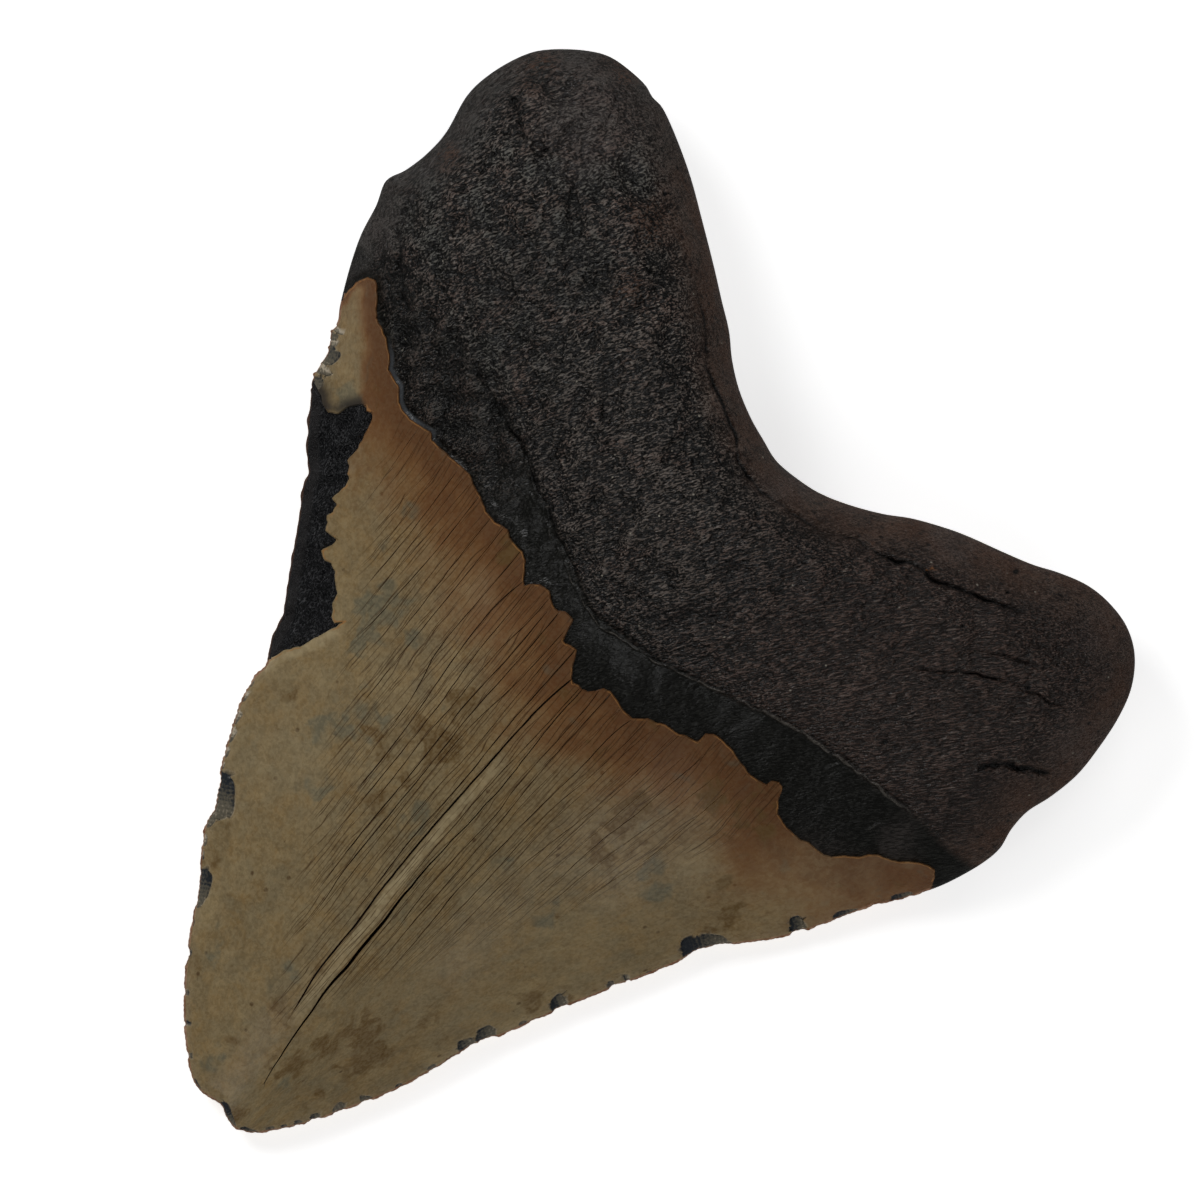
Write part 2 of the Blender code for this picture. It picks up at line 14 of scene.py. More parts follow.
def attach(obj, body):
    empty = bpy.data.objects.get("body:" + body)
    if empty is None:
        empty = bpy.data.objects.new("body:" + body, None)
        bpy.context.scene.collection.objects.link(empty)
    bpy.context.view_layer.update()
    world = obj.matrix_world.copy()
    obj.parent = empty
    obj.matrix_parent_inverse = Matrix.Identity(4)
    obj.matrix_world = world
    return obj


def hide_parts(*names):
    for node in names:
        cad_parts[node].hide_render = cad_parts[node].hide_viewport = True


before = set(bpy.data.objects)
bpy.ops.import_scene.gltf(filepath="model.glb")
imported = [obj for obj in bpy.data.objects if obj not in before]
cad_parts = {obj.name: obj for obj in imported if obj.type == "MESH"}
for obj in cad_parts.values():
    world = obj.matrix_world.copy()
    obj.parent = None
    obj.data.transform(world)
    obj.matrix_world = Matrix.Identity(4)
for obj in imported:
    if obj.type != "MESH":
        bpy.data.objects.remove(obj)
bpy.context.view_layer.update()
METRES_PER_MM = 0.001

# %% [markdown]
# ## The tooth's own lines
# A tooth like this is best drawn from above, as a map. Its rim, the ragged line where the enamel stops
# and the cracks are lists of points in millimetres. Curves through them do the rest.
# The first list goes clockwise over the root, the second one round the crown's cutting edge.

# %% The rim, seen from above
ROOT_RIM = [
    (-55.2, 21.9), (-57.4, 26.6), (-59, 30.9), (-59.9, 35.1), (-61, 38.5), (-59.9, 41.3), (-59.1, 44.9),
    (-59, 48.8), (-60, 54.3), (-59.4, 58.8), (-57.6, 63.4), (-55.3, 66.3), (-51.4, 69.3), (-48, 70.7),
    (-43.1, 70.8), (-40.8, 70.1), (-38.7, 69.8), (-34.9, 68), (-29.9, 65.1), (-24.9, 61.6), (-19.9, 58),
    (-16.2, 55.2), (-12.7, 52.6), (-9.9, 49.9), (-6.7, 47.5), (-3.1, 45.6), (0.1, 44.4), (3.6, 43.3),
    (8.3, 43.4), (11.5, 44), (15.1, 45.3), (18.9, 47.1), (22.4, 49.2), (26.9, 51.2), (30.1, 52.3),
    (34.7, 53.6), (38.6, 54.8), (42.2, 56.3), (46, 57.4), (49.7, 57.5), (53.6, 56.6), (56.9, 54.4),
    (59.4, 50.8), (60.7, 46.5), (61.3, 41.5), (61.4, 37), (60.6, 32.6), (59.5, 29), (59.4, 25.8),
    (59.9, 22.7), (59.3, 19.4), (57.8, 15.3)]
CROWN_RIM = [
    (56.4, 12.5), (54, 8.5), (51.9, 6), (50.6, 3.5), (48.7, 0.2), (46.9, -2.9), (44.4, -6.3), (40.6, -10.5),
    (38.4, -13.2), (36.9, -16.3), (35.1, -19.9), (32.9, -23.8), (31, -27.4), (29.2, -30.7), (26.7, -35.9),
    (24.9, -39.5), (22.8, -43.2), (20.4, -50), (18, -55.7), (15, -61.1), (12.5, -65.4), (8.9, -70),
    (7, -71.8), (5, -72.4), (3.2, -72), (1.6, -71.2), (-1, -71.5), (-2.7, -71.3), (-5, -69.8),
    (-8.9, -66.1), (-12.5, -61.8), (-15.7, -57.1), (-18.4, -52.5), (-20.7, -48.9), (-23.8, -44.3),
    (-25.1, -41), (-27.5, -36.4), (-29.8, -31.4), (-31.4, -27.1), (-31.9, -24), (-31.8, -21.6),
    (-33.5, -18.4), (-34.4, -15.2), (-36.9, -10.9), (-40.6, -4.5), (-43.3, -0.2), (-44, 1.8), (-46, 3.7),
    (-49.8, 8.9), (-52, 12.2), (-52.6, 15.8), (-53.9, 18.2), (-54, 19.9)]


def walk(line, step, closed=False):
    """Points about one step apart on a smooth curve; step is one number, or one for each span."""
    line = np.array(line, dtype=float)
    count = len(line)
    spans = count if closed else count - 1
    steps = np.broadcast_to(step, (spans,))
    found = []
    for i in range(spans):
        if closed:
            before, here, there, after = (line[(i + k) % count] for k in (-1, 0, 1, 2))
        else:
            before, here, there, after = (line[min(max(i + k, 0), count - 1)] for k in (-1, 0, 1, 2))
        pieces = max(1, int(round(np.linalg.norm(there - here) / steps[i])))
        for k in range(pieces):
            t = k / pieces
            bend = 2 * here + (there - before) * t
            bend += (2 * before - 5 * here + 4 * there - after) * t ** 2
            bend += (3 * here - before - 3 * there + after) * t ** 3
            found.append(bend / 2)
    if not closed:
        found.append(line[-1])
    return np.array(found)


SMOOTH_RIM_STEP = 0.5
PACKED_RIM_STEP = 1.9
RIM = walk(ROOT_RIM + CROWN_RIM, SMOOTH_RIM_STEP, closed=True)
RIM_LOOP = np.vstack([RIM, RIM[:1]])
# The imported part's origin is the middle of its box, so the same middle is taken off here.
PACKED_RIM = walk(ROOT_RIM + CROWN_RIM, PACKED_RIM_STEP, closed=True)
MIDDLE = (PACKED_RIM.min(axis=0) + PACKED_RIM.max(axis=0)) / 2
print("rim points:", len(RIM), "middle:", MIDDLE.round(2))

# %% [markdown]
# ## Where the enamel ends
# Enamel is a separate skin about half a millimetre thick. It stops at a scalloped ledge above the
# smooth collar that collectors call the bourlette, and a strip of it has flaked off the left edge.

# %% The enamel's ledge, the bare patch and the root's line
ENAMEL_LEDGE = [
    (-55.2, 21.9), (-55.4, 23.6), (-55.2, 25.4), (-54.5, 26.9), (-53.3, 27.1), (-52.6, 26.6), (-51.9, 25.7),
    (-50.1, 23.4), (-48.9, 23), (-47.4, 22.2), (-45.1, 20.3), (-44.4, 19.2), (-43.1, 18.7), (-42.1, 18.4),
    (-41.4, 17.8), (-40.5, 16.7), (-39.6, 16.3), (-37.8, 15.9), (-36.4, 16.1), (-34.6, 16.4), (-33.7, 15.7),
    (-30.8, 15.5), (-27.1, 15.5), (-26.2, 15), (-24.2, 14.1), (-22.1, 13), (-20.3, 12.7), (-18.3, 12.9),
    (-17.4, 12.3), (-14.9, 11.9), (-13.9, 11.4), (-13.1, 10.3), (-12.4, 9.1), (-11.8, 8.6), (-11.2, 9.4),
    (-10.3, 10.1), (-8.7, 10.3), (-8, 9.6), (-6.7, 9), (-6, 9), (-5.3, 9.6), (-3.9, 9.4), (-3.7, 8.4),
    (-3.2, 6.4), (-2.6, 6.3), (-1.9, 6.6), (-1, 6.6), (-0.5, 5.7), (0.3, 4.2), (1, 3.2), (1.7, 2.8),
    (2.4, 3.3), (3.1, 3), (4, 3.3), (4.7, 4.1), (5.3, 5), (6.1, 5.3), (7.4, 5), (8.8, 4.5), (10.8, 4.4),
    (12.4, 5.7), (13.6, 6), (14.7, 6.7), (16.8, 6.7), (17.9, 7.2), (19.5, 7.6), (19.7, 9.1), (20.5, 9.7),
    (21.7, 9.9), (23.8, 9.7), (27.2, 8.8), (29, 8.8), (30.4, 9.2), (30.5, 10), (31.3, 10.4), (32, 10.3),
    (32.4, 9.2), (32.9, 8.2), (34, 7.1), (35.1, 6.6), (36.9, 6.4), (38.6, 6.4), (39.5, 6.7), (42.2, 6.9),
    (43.3, 7.3), (44.4, 8.5), (46.3, 9.8), (46.9, 10.7), (47.9, 11.5), (49, 11.9), (50.4, 12.5),
    (51.5, 13.4), (52.6, 14.2), (53.8, 14.7), (54.9, 14.8), (55.6, 14), (56.4, 12.5)]
BARE_PATCH = [
    (-52, 12.2), (-50.6, 11.4), (-49.2, 10.9), (-48.1, 10.1), (-47.1, 9.8), (-46, 10.5), (-45.5, 11.9),
    (-44.6, 13.2), (-43.7, 13.7), (-43.1, 13.3), (-42.3, 13.6), (-41.7, 13), (-41.4, 11.6), (-40.9, 9.8),
    (-40.6, 8), (-40.8, 6.4), (-40.1, 6.1), (-39.6, 5.1), (-39, 5), (-38.7, 3.4), (-39.2, 1.2), (-38, 1),
    (-37.8, -0.2), (-38.1, -1.1), (-37.4, -1.6), (-36.9, -2.7), (-34.9, -2.6), (-35.1, -3.8), (-35.7, -5.1),
    (-34.6, -5.7), (-33.5, -5.5), (-32.4, -6), (-31.7, -7), (-30.3, -8.1), (-29.9, -9.5), (-28.9, -10.9),
    (-28.1, -11.4), (-27.2, -10.3), (-27.5, -11.8), (-28, -13), (-28.7, -14.9), (-29.6, -17),
    (-30.8, -18.6), (-31.8, -21.6)]
LOWER_LEDGE = [
    (-55.2, 21.9), (-48, 24.5), (-40, 25.4), (-30, 24.6), (-20, 22.8), (-10, 20.9), (0, 19.7), (10, 19.4),
    (20, 19.9), (30, 20.4), (40, 19.9), (49, 17.6), (56.4, 12.5)]
ROOT_LINE = [
    (-58.3, 28.9), (-52, 29), (-45, 28.5), (-38, 27.2), (-30.3, 24.8), (-24.9, 23.4), (-19.9, 20.4),
    (-14.9, 18), (-11, 16), (-6, 13.7), (-2.8, 12.1), (2.6, 12.3), (7.2, 12.5), (12.6, 13.7), (18.6, 15.1),
    (28.3, 17.5), (39, 18.4), (48.3, 18.7), (54, 18.2), (58.9, 18.6)]

# Points outside the tooth that close each line above into an area.
ROUND_THE_TIP = [(90.0, 0.0), (30.0, -110.0), (-30.0, -110.0), (-90.0, 0.0)]
LEFT_OF_THE_PATCH = [(-60.0, -30.0), (-75.0, 12.0)]
ROUND_THE_ROOT = [(90.0, 20.0), (90.0, 100.0), (-90.0, 100.0), (-90.0, 30.0)]

LINE_STEP = 0.8
RAGGED_STEP = 0.3
RAGGED_SWING = 0.16
RAGGED_LENGTH = 0.9


def ragged(line):
    """The line with points close together and small irregular steps, as a broken edge has."""
    line = np.array(line, dtype=float)
    found = [line[0]]
    for here, there in zip(line[:-1], line[1:]):
        pieces = max(1, int(round(np.linalg.norm(there - here) / RAGGED_STEP)))
        for k in range(1, pieces + 1):
            spot = here + (there - here) * k / pieces
            sway = [noise.noise(Vector((*(spot / RAGGED_LENGTH), seed))) for seed in (3.7, 8.2)]
            found.append(spot + RAGGED_SWING * np.array(sway))
    found[-1] = line[-1]
    return np.array(found)


ledge_line = ragged(ENAMEL_LEDGE)
patch_line = ragged(BARE_PATCH)
root_line = walk(ROOT_LINE, LINE_STEP)
lower_ledge_line = walk(LOWER_LEDGE, LINE_STEP)
print("ledge points:", len(ledge_line), "patch points:", len(patch_line))

# %% [markdown]
# ## Distances and areas
# Nearly everything on the tooth depends on how far a spot is from one of those lines: the rim rounds
# over, the ledge steps down, the colour changes. A KD tree finds the nearest point of a line quickly,
# and the two stretches that meet there give the exact distance.

# %% Distance helpers


def nearest_points(points, targets):
    """For each point, the number of the nearest target and how far away it is."""
    finder = kdtree.KDTree(len(targets))
    for i, (x, y) in enumerate(targets):
        finder.insert((x, y, 0.0), i)
    finder.balance()
    found = [finder.find((x, y, 0.0)) for x, y in points]
    return np.array([hit[1] for hit in found], dtype=int), np.array([hit[2] for hit in found])


def nearest_on(points, line):
    """Distance from each point to a finely divided line, and the number of its nearest point."""
    index = nearest_points(points, line)[0]
    distance = np.full(len(points), np.inf)
    for shift in (-1, 0):
        start = np.clip(index + shift, 0, len(line) - 2)
        step = line[start + 1] - line[start]
        offset = points - line[start]
        t = np.clip((offset * step).sum(axis=1) / (step * step).sum(axis=1), 0, 1)
        distance = np.minimum(distance, np.linalg.norm(offset - t[:, None] * step, axis=1))
    return distance, index


def inside(points, area):
    """Which points lie inside a closed area."""
    area = np.array(area, dtype=float)
    x, y = points[:, 0], points[:, 1]
    found = np.zeros(len(points), dtype=bool)
    for (x0, y0), (x1, y1) in zip(area, np.roll(area, -1, axis=0)):
        if y0 != y1:
            crosses = (y0 > y) != (y1 > y)
            found ^= crosses & (x < (x1 - x0) * (y - y0) / (y1 - y0) + x0)
    return found


def reach_inside(points, line, closing):
    """Distance from a line, positive inside the area that it and its closing points go round."""
    distance = nearest_on(points, line)[0]
    return np.where(inside(points, list(line) + closing), distance, -distance)


def rim_distance(points):
    """Distance from the smooth rim."""
    return nearest_on(points, RIM_LOOP)[0]


def bumps(points, across, along, seed):
    """Soft bumps between -1 and 1, each about as wide and as long as the two sizes given."""
    return np.array([noise.noise(Vector((x / across, y / along, seed))) for x, y in points])


def smooth_step(value, low, high):
    """Rise from 0 to 1 between low and high with no corners."""
    t = np.clip((value - low) / (high - low), 0, 1)
    return t * t * (3 - 2 * t)


# %% [markdown]
# ## The broad form
# The upper face swells from a thin cutting edge to a thick root. A modeller could sculpt it; here a
# thin plate, the smoothest sheet that passes through chosen heights, is bent over some ninety spots.
# A second sheet gives the flat lower face, and two more the rim's height and how far its edge rounds in.

# %% Heights over the map
# Place and height; the rim's spots also say how far in from the rim its edge rounds over.
RIM_SPOTS = [
    (1, -72, 3, 1.5), (-15, -58, 2.5, 1.3), (16, -59, 2.5, 1.3), (-25, -41, 2.2, 1.3), (24, -41, 2.2, 1.3),
    (-33.5, -18, 2.2, 1.3), (35, -20, 2.2, 1.3), (-44, 1, 2.4, 1.4), (48, 0, 2.4, 1.4),
    (-52.5, 14, 3.2, 1.8), (56.4, 12.5, 3.8, 2.2), (-55.2, 21.9, 4.6, 3), (58.8, 18, 5.6, 4.5),
    (-59, 31, 7.8, 8), (59.5, 27, 8.6, 10), (-60.8, 38.5, 10, 12), (61.3, 38, 10.5, 12.5),
    (-60, 55, 10.6, 13), (-48, 70.5, 10.8, 13), (58, 53, 10.8, 13), (47, 57.5, 11.2, 13),
    (-35, 68, 11.4, 13.5), (-16, 55, 12.4, 13.5), (5, 43.3, 13.6, 13), (25, 50.5, 12.8, 13.5)]
UPPER_SPOTS = [
    (1, -72, 4.4), (1.5, -66, 7), (1.5, -55, 10.6), (2, -40, 14.2), (2, -25, 17), (3, -10, 19.2),
    (3, 1, 20.5), (3, 8, 21.5), (3, 13, 23.6), (4, 20, 26.6), (4, 28, 28.6), (5, 35, 28.4), (5, 41, 27),
    (8.9, -70, 3.9), (-7, -68, 3.9), (15, -61, 3.5), (-13.5, -60.5, 3.5), (20.5, -50, 3.3), (-20, -50, 3.3),
    (24.8, -39.5, 3.2), (-26, -39.5, 3.2), (31, -27.4, 3.2), (-31.5, -26, 3.2), (36, -18, 3.2),
    (-34, -17, 3.1), (41.5, -9.5, 3.2), (-39, -7.5, 3.1), (48.3, 0, 3.4), (-43.5, 0.5, 3.2), (53, 7.5, 3.8),
    (-49.5, 9, 3.6), (56.4, 12.5, 5.4), (-53.8, 18.5, 5.2), (-55.2, 21.9, 6.4), (11, -57, 7.3),
    (-9, -57, 7.3), (17.5, -40, 8.6), (12, -40, 11.8), (-18, -40, 8.2), (-11, -40, 11.6), (27, -20, 9),
    (18, -20, 13.8), (-24, -20, 9), (-15, -20, 13.9), (39, 0, 8.8), (25, 0, 15.2), (13, 0, 19),
    (-34, 0, 8.9), (-20, 0, 15.5), (-8, 0, 19.6), (45, 8, 10), (34, 9, 14.6), (20, 11, 20), (-44, 12, 8.8),
    (-34, 14, 14.6), (-20, 13, 19.2), (-10, 12, 21.4), (51, 17, 12.6), (40, 18, 18.4), (24, 18.5, 23.6),
    (-50, 22, 11.4), (-40, 21, 16.2), (-27, 22, 20.8), (-14, 21, 24.6), (-54, 31, 15), (-42, 30, 20.4),
    (-26, 31, 24.2), (-12, 31, 27.2), (55, 26, 16), (44, 28, 21.2), (30, 29, 24.8), (17, 30, 27.4),
    (-57, 41, 18.2), (-46, 42, 22.2), (-30, 42, 25.2), (-14, 41, 27), (57, 38, 18.6), (46, 38, 21.9),
    (32, 40, 24.8), (18, 40, 26.8), (-56, 54, 18.8), (-46, 55, 21.8), (-32, 54, 24.2), (-20, 50, 25.8),
    (55, 49, 19), (44, 50, 21.6), (30, 49, 24), (-48, 67, 18.6), (-38, 65, 20.4), (48, 56, 19.6),
    (-12, 52, 24.6), (20, 47.5, 25)]
LOWER_SPOTS = [
    (1, -72, 2.4), (-14, -60, 1.7), (14.5, -61.5, 1.7), (-25, -41, 1.4), (24, -41, 1.4), (-33, -18, 1.4),
    (35.5, -18, 1.4), (-44, 1, 1.5), (48, 0, 1.5), (-53, 15, 1.6), (56, 12.5, 1.7), (2, -55, 0.7),
    (2, -42, 0), (2, -28, -0.4), (1, -12, -0.5), (0, 2, -0.2), (17, -12, 0.1), (-15, -12, 0.1),
    (12, -40, 0.6), (-10, -40, 0.6), (35, 3, 0.6), (-31, 3, 0.6), (0, 14, 0.5), (25, 13, 0.4),
    (-25, 14, 0.4), (0, 24, 1), (4, 38, 1.6), (24, 32, 0.6), (-22, 38, 0.6), (-44, 47, -0.5), (-52, 58, 0),
    (-56, 38, 0.3), (-42, 62, 0), (46, 39, -0.5), (55, 47, 0), (44, 52, 0), (56, 28, 0.5), (-50, 28, 0.7)]

# %% The thin plate through the spots


def thin_plate(spots, column):
    """The smoothest surface through every spot's height in the given column."""
    spots = np.array(spots, dtype=float)
    ground = spots[:, :2]
    count = len(spots)

    def stiffness(points):
        gap = np.hypot(points[:, :1] - ground[:, 0], points[:, 1:] - ground[:, 1])
        return gap ** 2 * np.log(np.maximum(gap, 1e-9))

    system = np.zeros((count + 3, count + 3))
    system[:count, :count] = stiffness(ground)
    system[:count, count] = 1
    system[:count, count + 1:] = ground
    system[count:, :count] = system[:count, count:].T
    weights = np.linalg.solve(system, np.append(spots[:, column], [0, 0, 0]))

    def height(points):
        return stiffness(points) @ weights[:count] + weights[count] + points @ weights[count + 1:]

    return height


rim_height = thin_plate(RIM_SPOTS, 2)
rim_reach = thin_plate(RIM_SPOTS, 3)
upper_form = thin_plate(UPPER_SPOTS, 2)
lower_form = thin_plate(LOWER_SPOTS, 2)


def roll_over(distance, reach):
    """A quarter round: 0 at the rim, rising steeply and then levelling to 1 at its reach."""
    t = np.clip(distance / reach, 0, 1)
    return np.sqrt(1 - (1 - t) ** 2)


print("height at the middle of the tooth in mm:", upper_form(np.zeros((1, 2))).round(1))

# %% [markdown]
# ## Furrows, ridges, chips and pits
# The root is creased where it wraps round the notch, and a fine ridge edges the collar. Small pits dot
# it. Flakes have been knocked off the cutting edge, and each scar is listed by its place on the edge.

# %% Furrows, chips and pits
# Half width, depth (below zero it is a ridge) and line of each.
FURROWS = [
    (0.5, 0.9, [(-20.5, 54.2), (-17.8, 52.6), (-15.3, 50.5), (-11.7, 46.9), (-9.2, 45.5), (-4.9, 43.4),
     (-2.8, 42.1), (-1.4, 40.9), (0.1, 39.5), (3.6, 38.9), (7.9, 39), (11.5, 39.6), (16, 40.4)]),
    (0.45, 0.95, [(14.5, 40.3), (18.6, 42), (22.9, 42.7), (26.5, 44.5), (29.4, 44.4), (34.4, 46.2),
     (39.7, 48.2), (43.5, 50)]),
    (0.3, 0.6, [(35.1, 33.4), (39.7, 36.9), (45.1, 40.1), (49, 41.2), (55.1, 42.8)]),
    (0.3, 0.4, [(38.5, 39.8), (41.8, 42), (45.6, 43.6), (48.6, 44.8)]),
    (0.7, 1.3, [(50.1, 29.2), (52.6, 31.4), (55.1, 33), (57, 34.3), (58.4, 35.2)]),
    (0.35, 0.5, [(-36, 27.2), (-30.6, 25.1), (-27, 23.8), (-23.4, 22.7), (-19.9, 20.4), (-17, 19.3),
     (-13.4, 17.1), (-10.6, 15.9), (-6, 13.7)]),
    (0.3, -0.35, [(-20.5, 19.4), (-15, 17), (-10.5, 14.9), (-5.5, 12.6), (-1, 11.2), (2.6, 11.6),
     (7.2, 12.2), (12.6, 13.5), (18.6, 15.1), (28.3, 17.5), (39, 18.4), (48.3, 18.7)]),
    (0.45, -0.3, [(22, 16), (28.3, 17.5), (39, 18.4), (48.3, 18.7)]),
    (0.3, 0.16, [(-1, 12.2), (2.6, 12.5), (7.2, 13.1), (12.6, 14.4), (18.6, 16), (28.3, 18.4), (39, 19.3)]),
    (0.3, -0.3, [(14.4, 13.8), (14.3, 12.7), (13.8, 11.4)]),
    (0.3, -0.3, [(35.6, 17.8), (35.2, 16.2), (35, 14.8)]),
    (0.3, -0.25, [(48, 17.4), (45.8, 15.5), (44.5, 13.4), (44.3, 11.6)]),
    (0.4, 0.35, [(20.5, 43.4), (24, 44.4), (27.5, 45.6)]),
    (0.5, 0.6, [(-55.3, 42.2), (-52.5, 43.8), (-49.9, 44.8)]),
    (0.6, 0.7, [(-55.2, 57.8), (-52.3, 56.2), (-49.6, 53.7)]),
    (0.5, 0.4, [(-44.2, 66.6), (-43.2, 63.5), (-41.7, 60.7)]),
    (0.8, 0.8, [(-57.6, 35.2), (-54.2, 33.6), (-51.6, 30.4), (-48, 27.5), (-45.2, 26.6)])]

# Place on the edge, half its length, how far in it reaches, its slant, and how dark its stone is; that
# darkness also sets its painted light and shade, and the palest scars are painted glints.
CHIPS = [
    ((54, 9.5), 1.6, 1, 0.2, 0.9), ((49.8, 2.8), 1.9, 0.9, 0.3, 0.9), ((45.3, -2.4), 1.1, 2.4, 0, 1),
    ((38.2, -12.6), 3.4, 2.2, 0.45, 1), ((34.6, -20.4), 0.5, 0.5, 0, 0.5), ((32.8, -23), 0.3, 1.3, 0, 0.8),
    ((31.8, -25), 0.55, 1.1, 0, 0.7), ((28.2, -31.6), 1.2, 2, -0.2, 1), ((26, -36.6), 0.6, 0.8, 0, 0.5),
    ((23.2, -41), 1.4, 1.9, -0.1, 0.8), ((21.8, -43.6), 1.3, 1.5, 0.1, 0.8),
    ((20.2, -48.9), 0.7, 0.8, 0, 0.6), ((18.5, -53.7), 0.6, 0.7, 0, 0.7), ((16.4, -58), 0.9, 1.1, 0.3, 0.5),
    ((14.4, -61.4), 1, 1.2, -0.3, 0.4), ((12.7, -64.3), 0.8, 1.1, 0, 0.8),
    ((11.2, -66.2), 0.6, 0.9, 0, 0.7), ((10, -67.7), 0.5, 0.7, 0, 0.8), ((8.8, -69.1), 0.6, 0.8, 0, 0.6),
    ((6.9, -71.4), 1.4, 0.8, 0.3, 0.8), ((3.4, -71.8), 2, 1.1, 0.2, 1), ((-2.4, -70.9), 1, 0.6, 0, 0.9),
    ((-5.6, -68.6), 0.4, 0.9, 0, 0.3), ((-8.7, -65.6), 0.35, 1.1, 0, 0.8),
    ((-11.4, -62.4), 0.5, 0.8, 0, 0.5), ((-14.8, -58.3), 0.5, 0.8, 0, 0.5),
    ((-19.4, -50.8), 2.7, 1.8, 0.25, 0.8), ((-21.8, -47), 0.7, 0.6, 0, 0.1),
    ((-22.8, -45.2), 0.9, 0.8, 0, 0.1), ((-24, -43), 0.9, 1.1, 0.3, 0.4),
    ((-25.4, -39.4), 3.1, 2.9, -0.2, 0.9), ((-27.6, -36), 0.6, 0.6, 0, 0),
    ((-28.4, -34.4), 0.8, 0.8, 0.2, 0.1), ((-29.4, -32.2), 1.2, 0.9, 0.3, 0),
    ((-30.4, -29.9), 1.1, 0.9, 0.3, 0.1), ((-31.4, -27), 0.9, 0.8, 0.2, 0),
    ((-31.9, -25), 0.6, 0.6, 0, 0.2), ((-17, -54.8), 0.6, 0.5, 0, 0.3), ((-50.4, 12), 1, 1.8, 0, 0.6),
    ((-51.2, 13.5), 0.8, 2.3, 0.2, 0.1), ((-51.9, 15.3), 1.2, 1.9, 0.3, 0.65),
    ((-53.7, 18.9), 0.5, 1.6, 0.3, 0), ((-53.3, 17.9), 0.6, 1.3, 0, 0.5),
    ((-52.8, 17), 0.5, 1.5, 0.2, 0.05)]

# Centre, radius, depth.
PITS = [
    ((-44.1, 66.6), 0.8, 0.5), ((-54.6, 57.7), 0.8, 0.6), ((-47, 55.2), 0.8, 0.5),
    ((-25.8, 51.6), 0.6, 0.6), ((37.4, 52.5), 0.8, 0.4), ((38.3, 49.6), 0.5, 0.4), ((36.5, 42.3), 0.6, 0.4),
    ((48.6, 41.6), 0.7, 0.5), ((-15.6, 30.5), 0.7, 0.5), ((58, 43.3), 0.5, 0.4), ((-31, 61), 0.6, 0.5),
    ((-38.7, 61.1), 0.6, 0.4), ((-34.9, 45.1), 0.5, 0.4), ((-40, 52.9), 0.9, 0.4),
    ((-51.6, 47.6), 0.7, 0.4), ((44.9, 50.7), 0.4, 0.3), ((45, 52), 0.4, 0.3), ((20.7, 46.7), 0.4, 0.3),
    ((-28.6, 42.9), 0.4, 0.3), ((38.6, 23.8), 0.8, 0.4), ((-22.6, 55.4), 0.4, 0.3),
    ((49.6, 46.5), 0.4, 0.3)]

# %% Depths of the furrows and pits


def waver(points, reach, wavelength, seed):
    """The same points pushed about a little, so that nothing is quite straight or quite round."""
    push = [bumps(points, wavelength, wavelength, seed + i) for i in (0.0, 7.0)]
    return points + reach * np.stack(push, axis=1)


FURROW_STEP = 0.4
FURROW_SWING = 0.45
FURROW_WAVE = 1.7
furrow_lines = [waver(walk(line, FURROW_STEP), FURROW_SWING, FURROW_WAVE, 51.0) for _, _, line in FURROWS]


def near_box(points, line, reach):
    """The numbers of the points in the box round a line, widened by a reach."""
    low = line.min(axis=0) - reach
    high = line.max(axis=0) + reach
    return np.nonzero(((points > low) & (points < high)).all(axis=1))[0]


def furrow_depth(points):
    """Depth of the furrows, tapered to nothing at both ends of each line."""
    depth = np.zeros(len(points))
    for (half_width, deepest, _), line in zip(FURROWS, furrow_lines):
        near = near_box(points, line, 2 * half_width)
        distance, index = nearest_on(points[near], line)
        along = index / (len(line) - 1)
        taper = np.sqrt(4 * along * (1 - along)) * (0.8 + 0.8 * bumps(points[near], 2.2, 2.2, 77.0))
        lip = smooth_step(np.abs(distance - 1.3 * half_width), 0.7 * half_width, 0)
        depth[near] += deepest * taper * (smooth_step(distance, half_width, 0) - 0.25 * lip)
    return depth


def oval_place(points, centre, length, width, bearing):
    """How far out each point is in an oval: 0 at its centre, 1 on its edge."""
    turn = np.radians(bearing)
    offset = points - np.array(centre)
    lengthwise = (offset[:, 0] * np.cos(turn) + offset[:, 1] * np.sin(turn)) / length
    crosswise = (offset[:, 1] * np.cos(turn) - offset[:, 0] * np.sin(turn)) / width
    return np.hypot(lengthwise, crosswise)


def pit_depth(points):
    """Depth of the pits in the root."""
    depth = np.zeros(len(points))
    for centre, radius, deepest in PITS:
        place = oval_place(points, centre, radius, 0.75 * radius, 70)
        depth = np.maximum(depth, deepest * smooth_step(place, 1, 0.2))
    return depth


def hollows(points):
    """How deep in a furrow or a pit each spot lies, for its painted shade: 1 is deepest, below 0 is a ridge,
    which takes a painted highlight.
    """
    return np.clip(1.3 * furrow_depth(points) + 2.2 * pit_depth(points), -1, 1)


print("furrows:", len(FURROWS), "chips:", len(CHIPS), "pits:", len(PITS))

# %% [markdown]
# ## The cracks
# As the buried tooth dried, its enamel split along the tooth in dozens of hairlines. They fan out
# from the crown's middle and stop above the tip. Painted lines would look flat from close by, so the
# strong ones are real grooves in the mesh. Each list runs from the ledge down towards the tip.

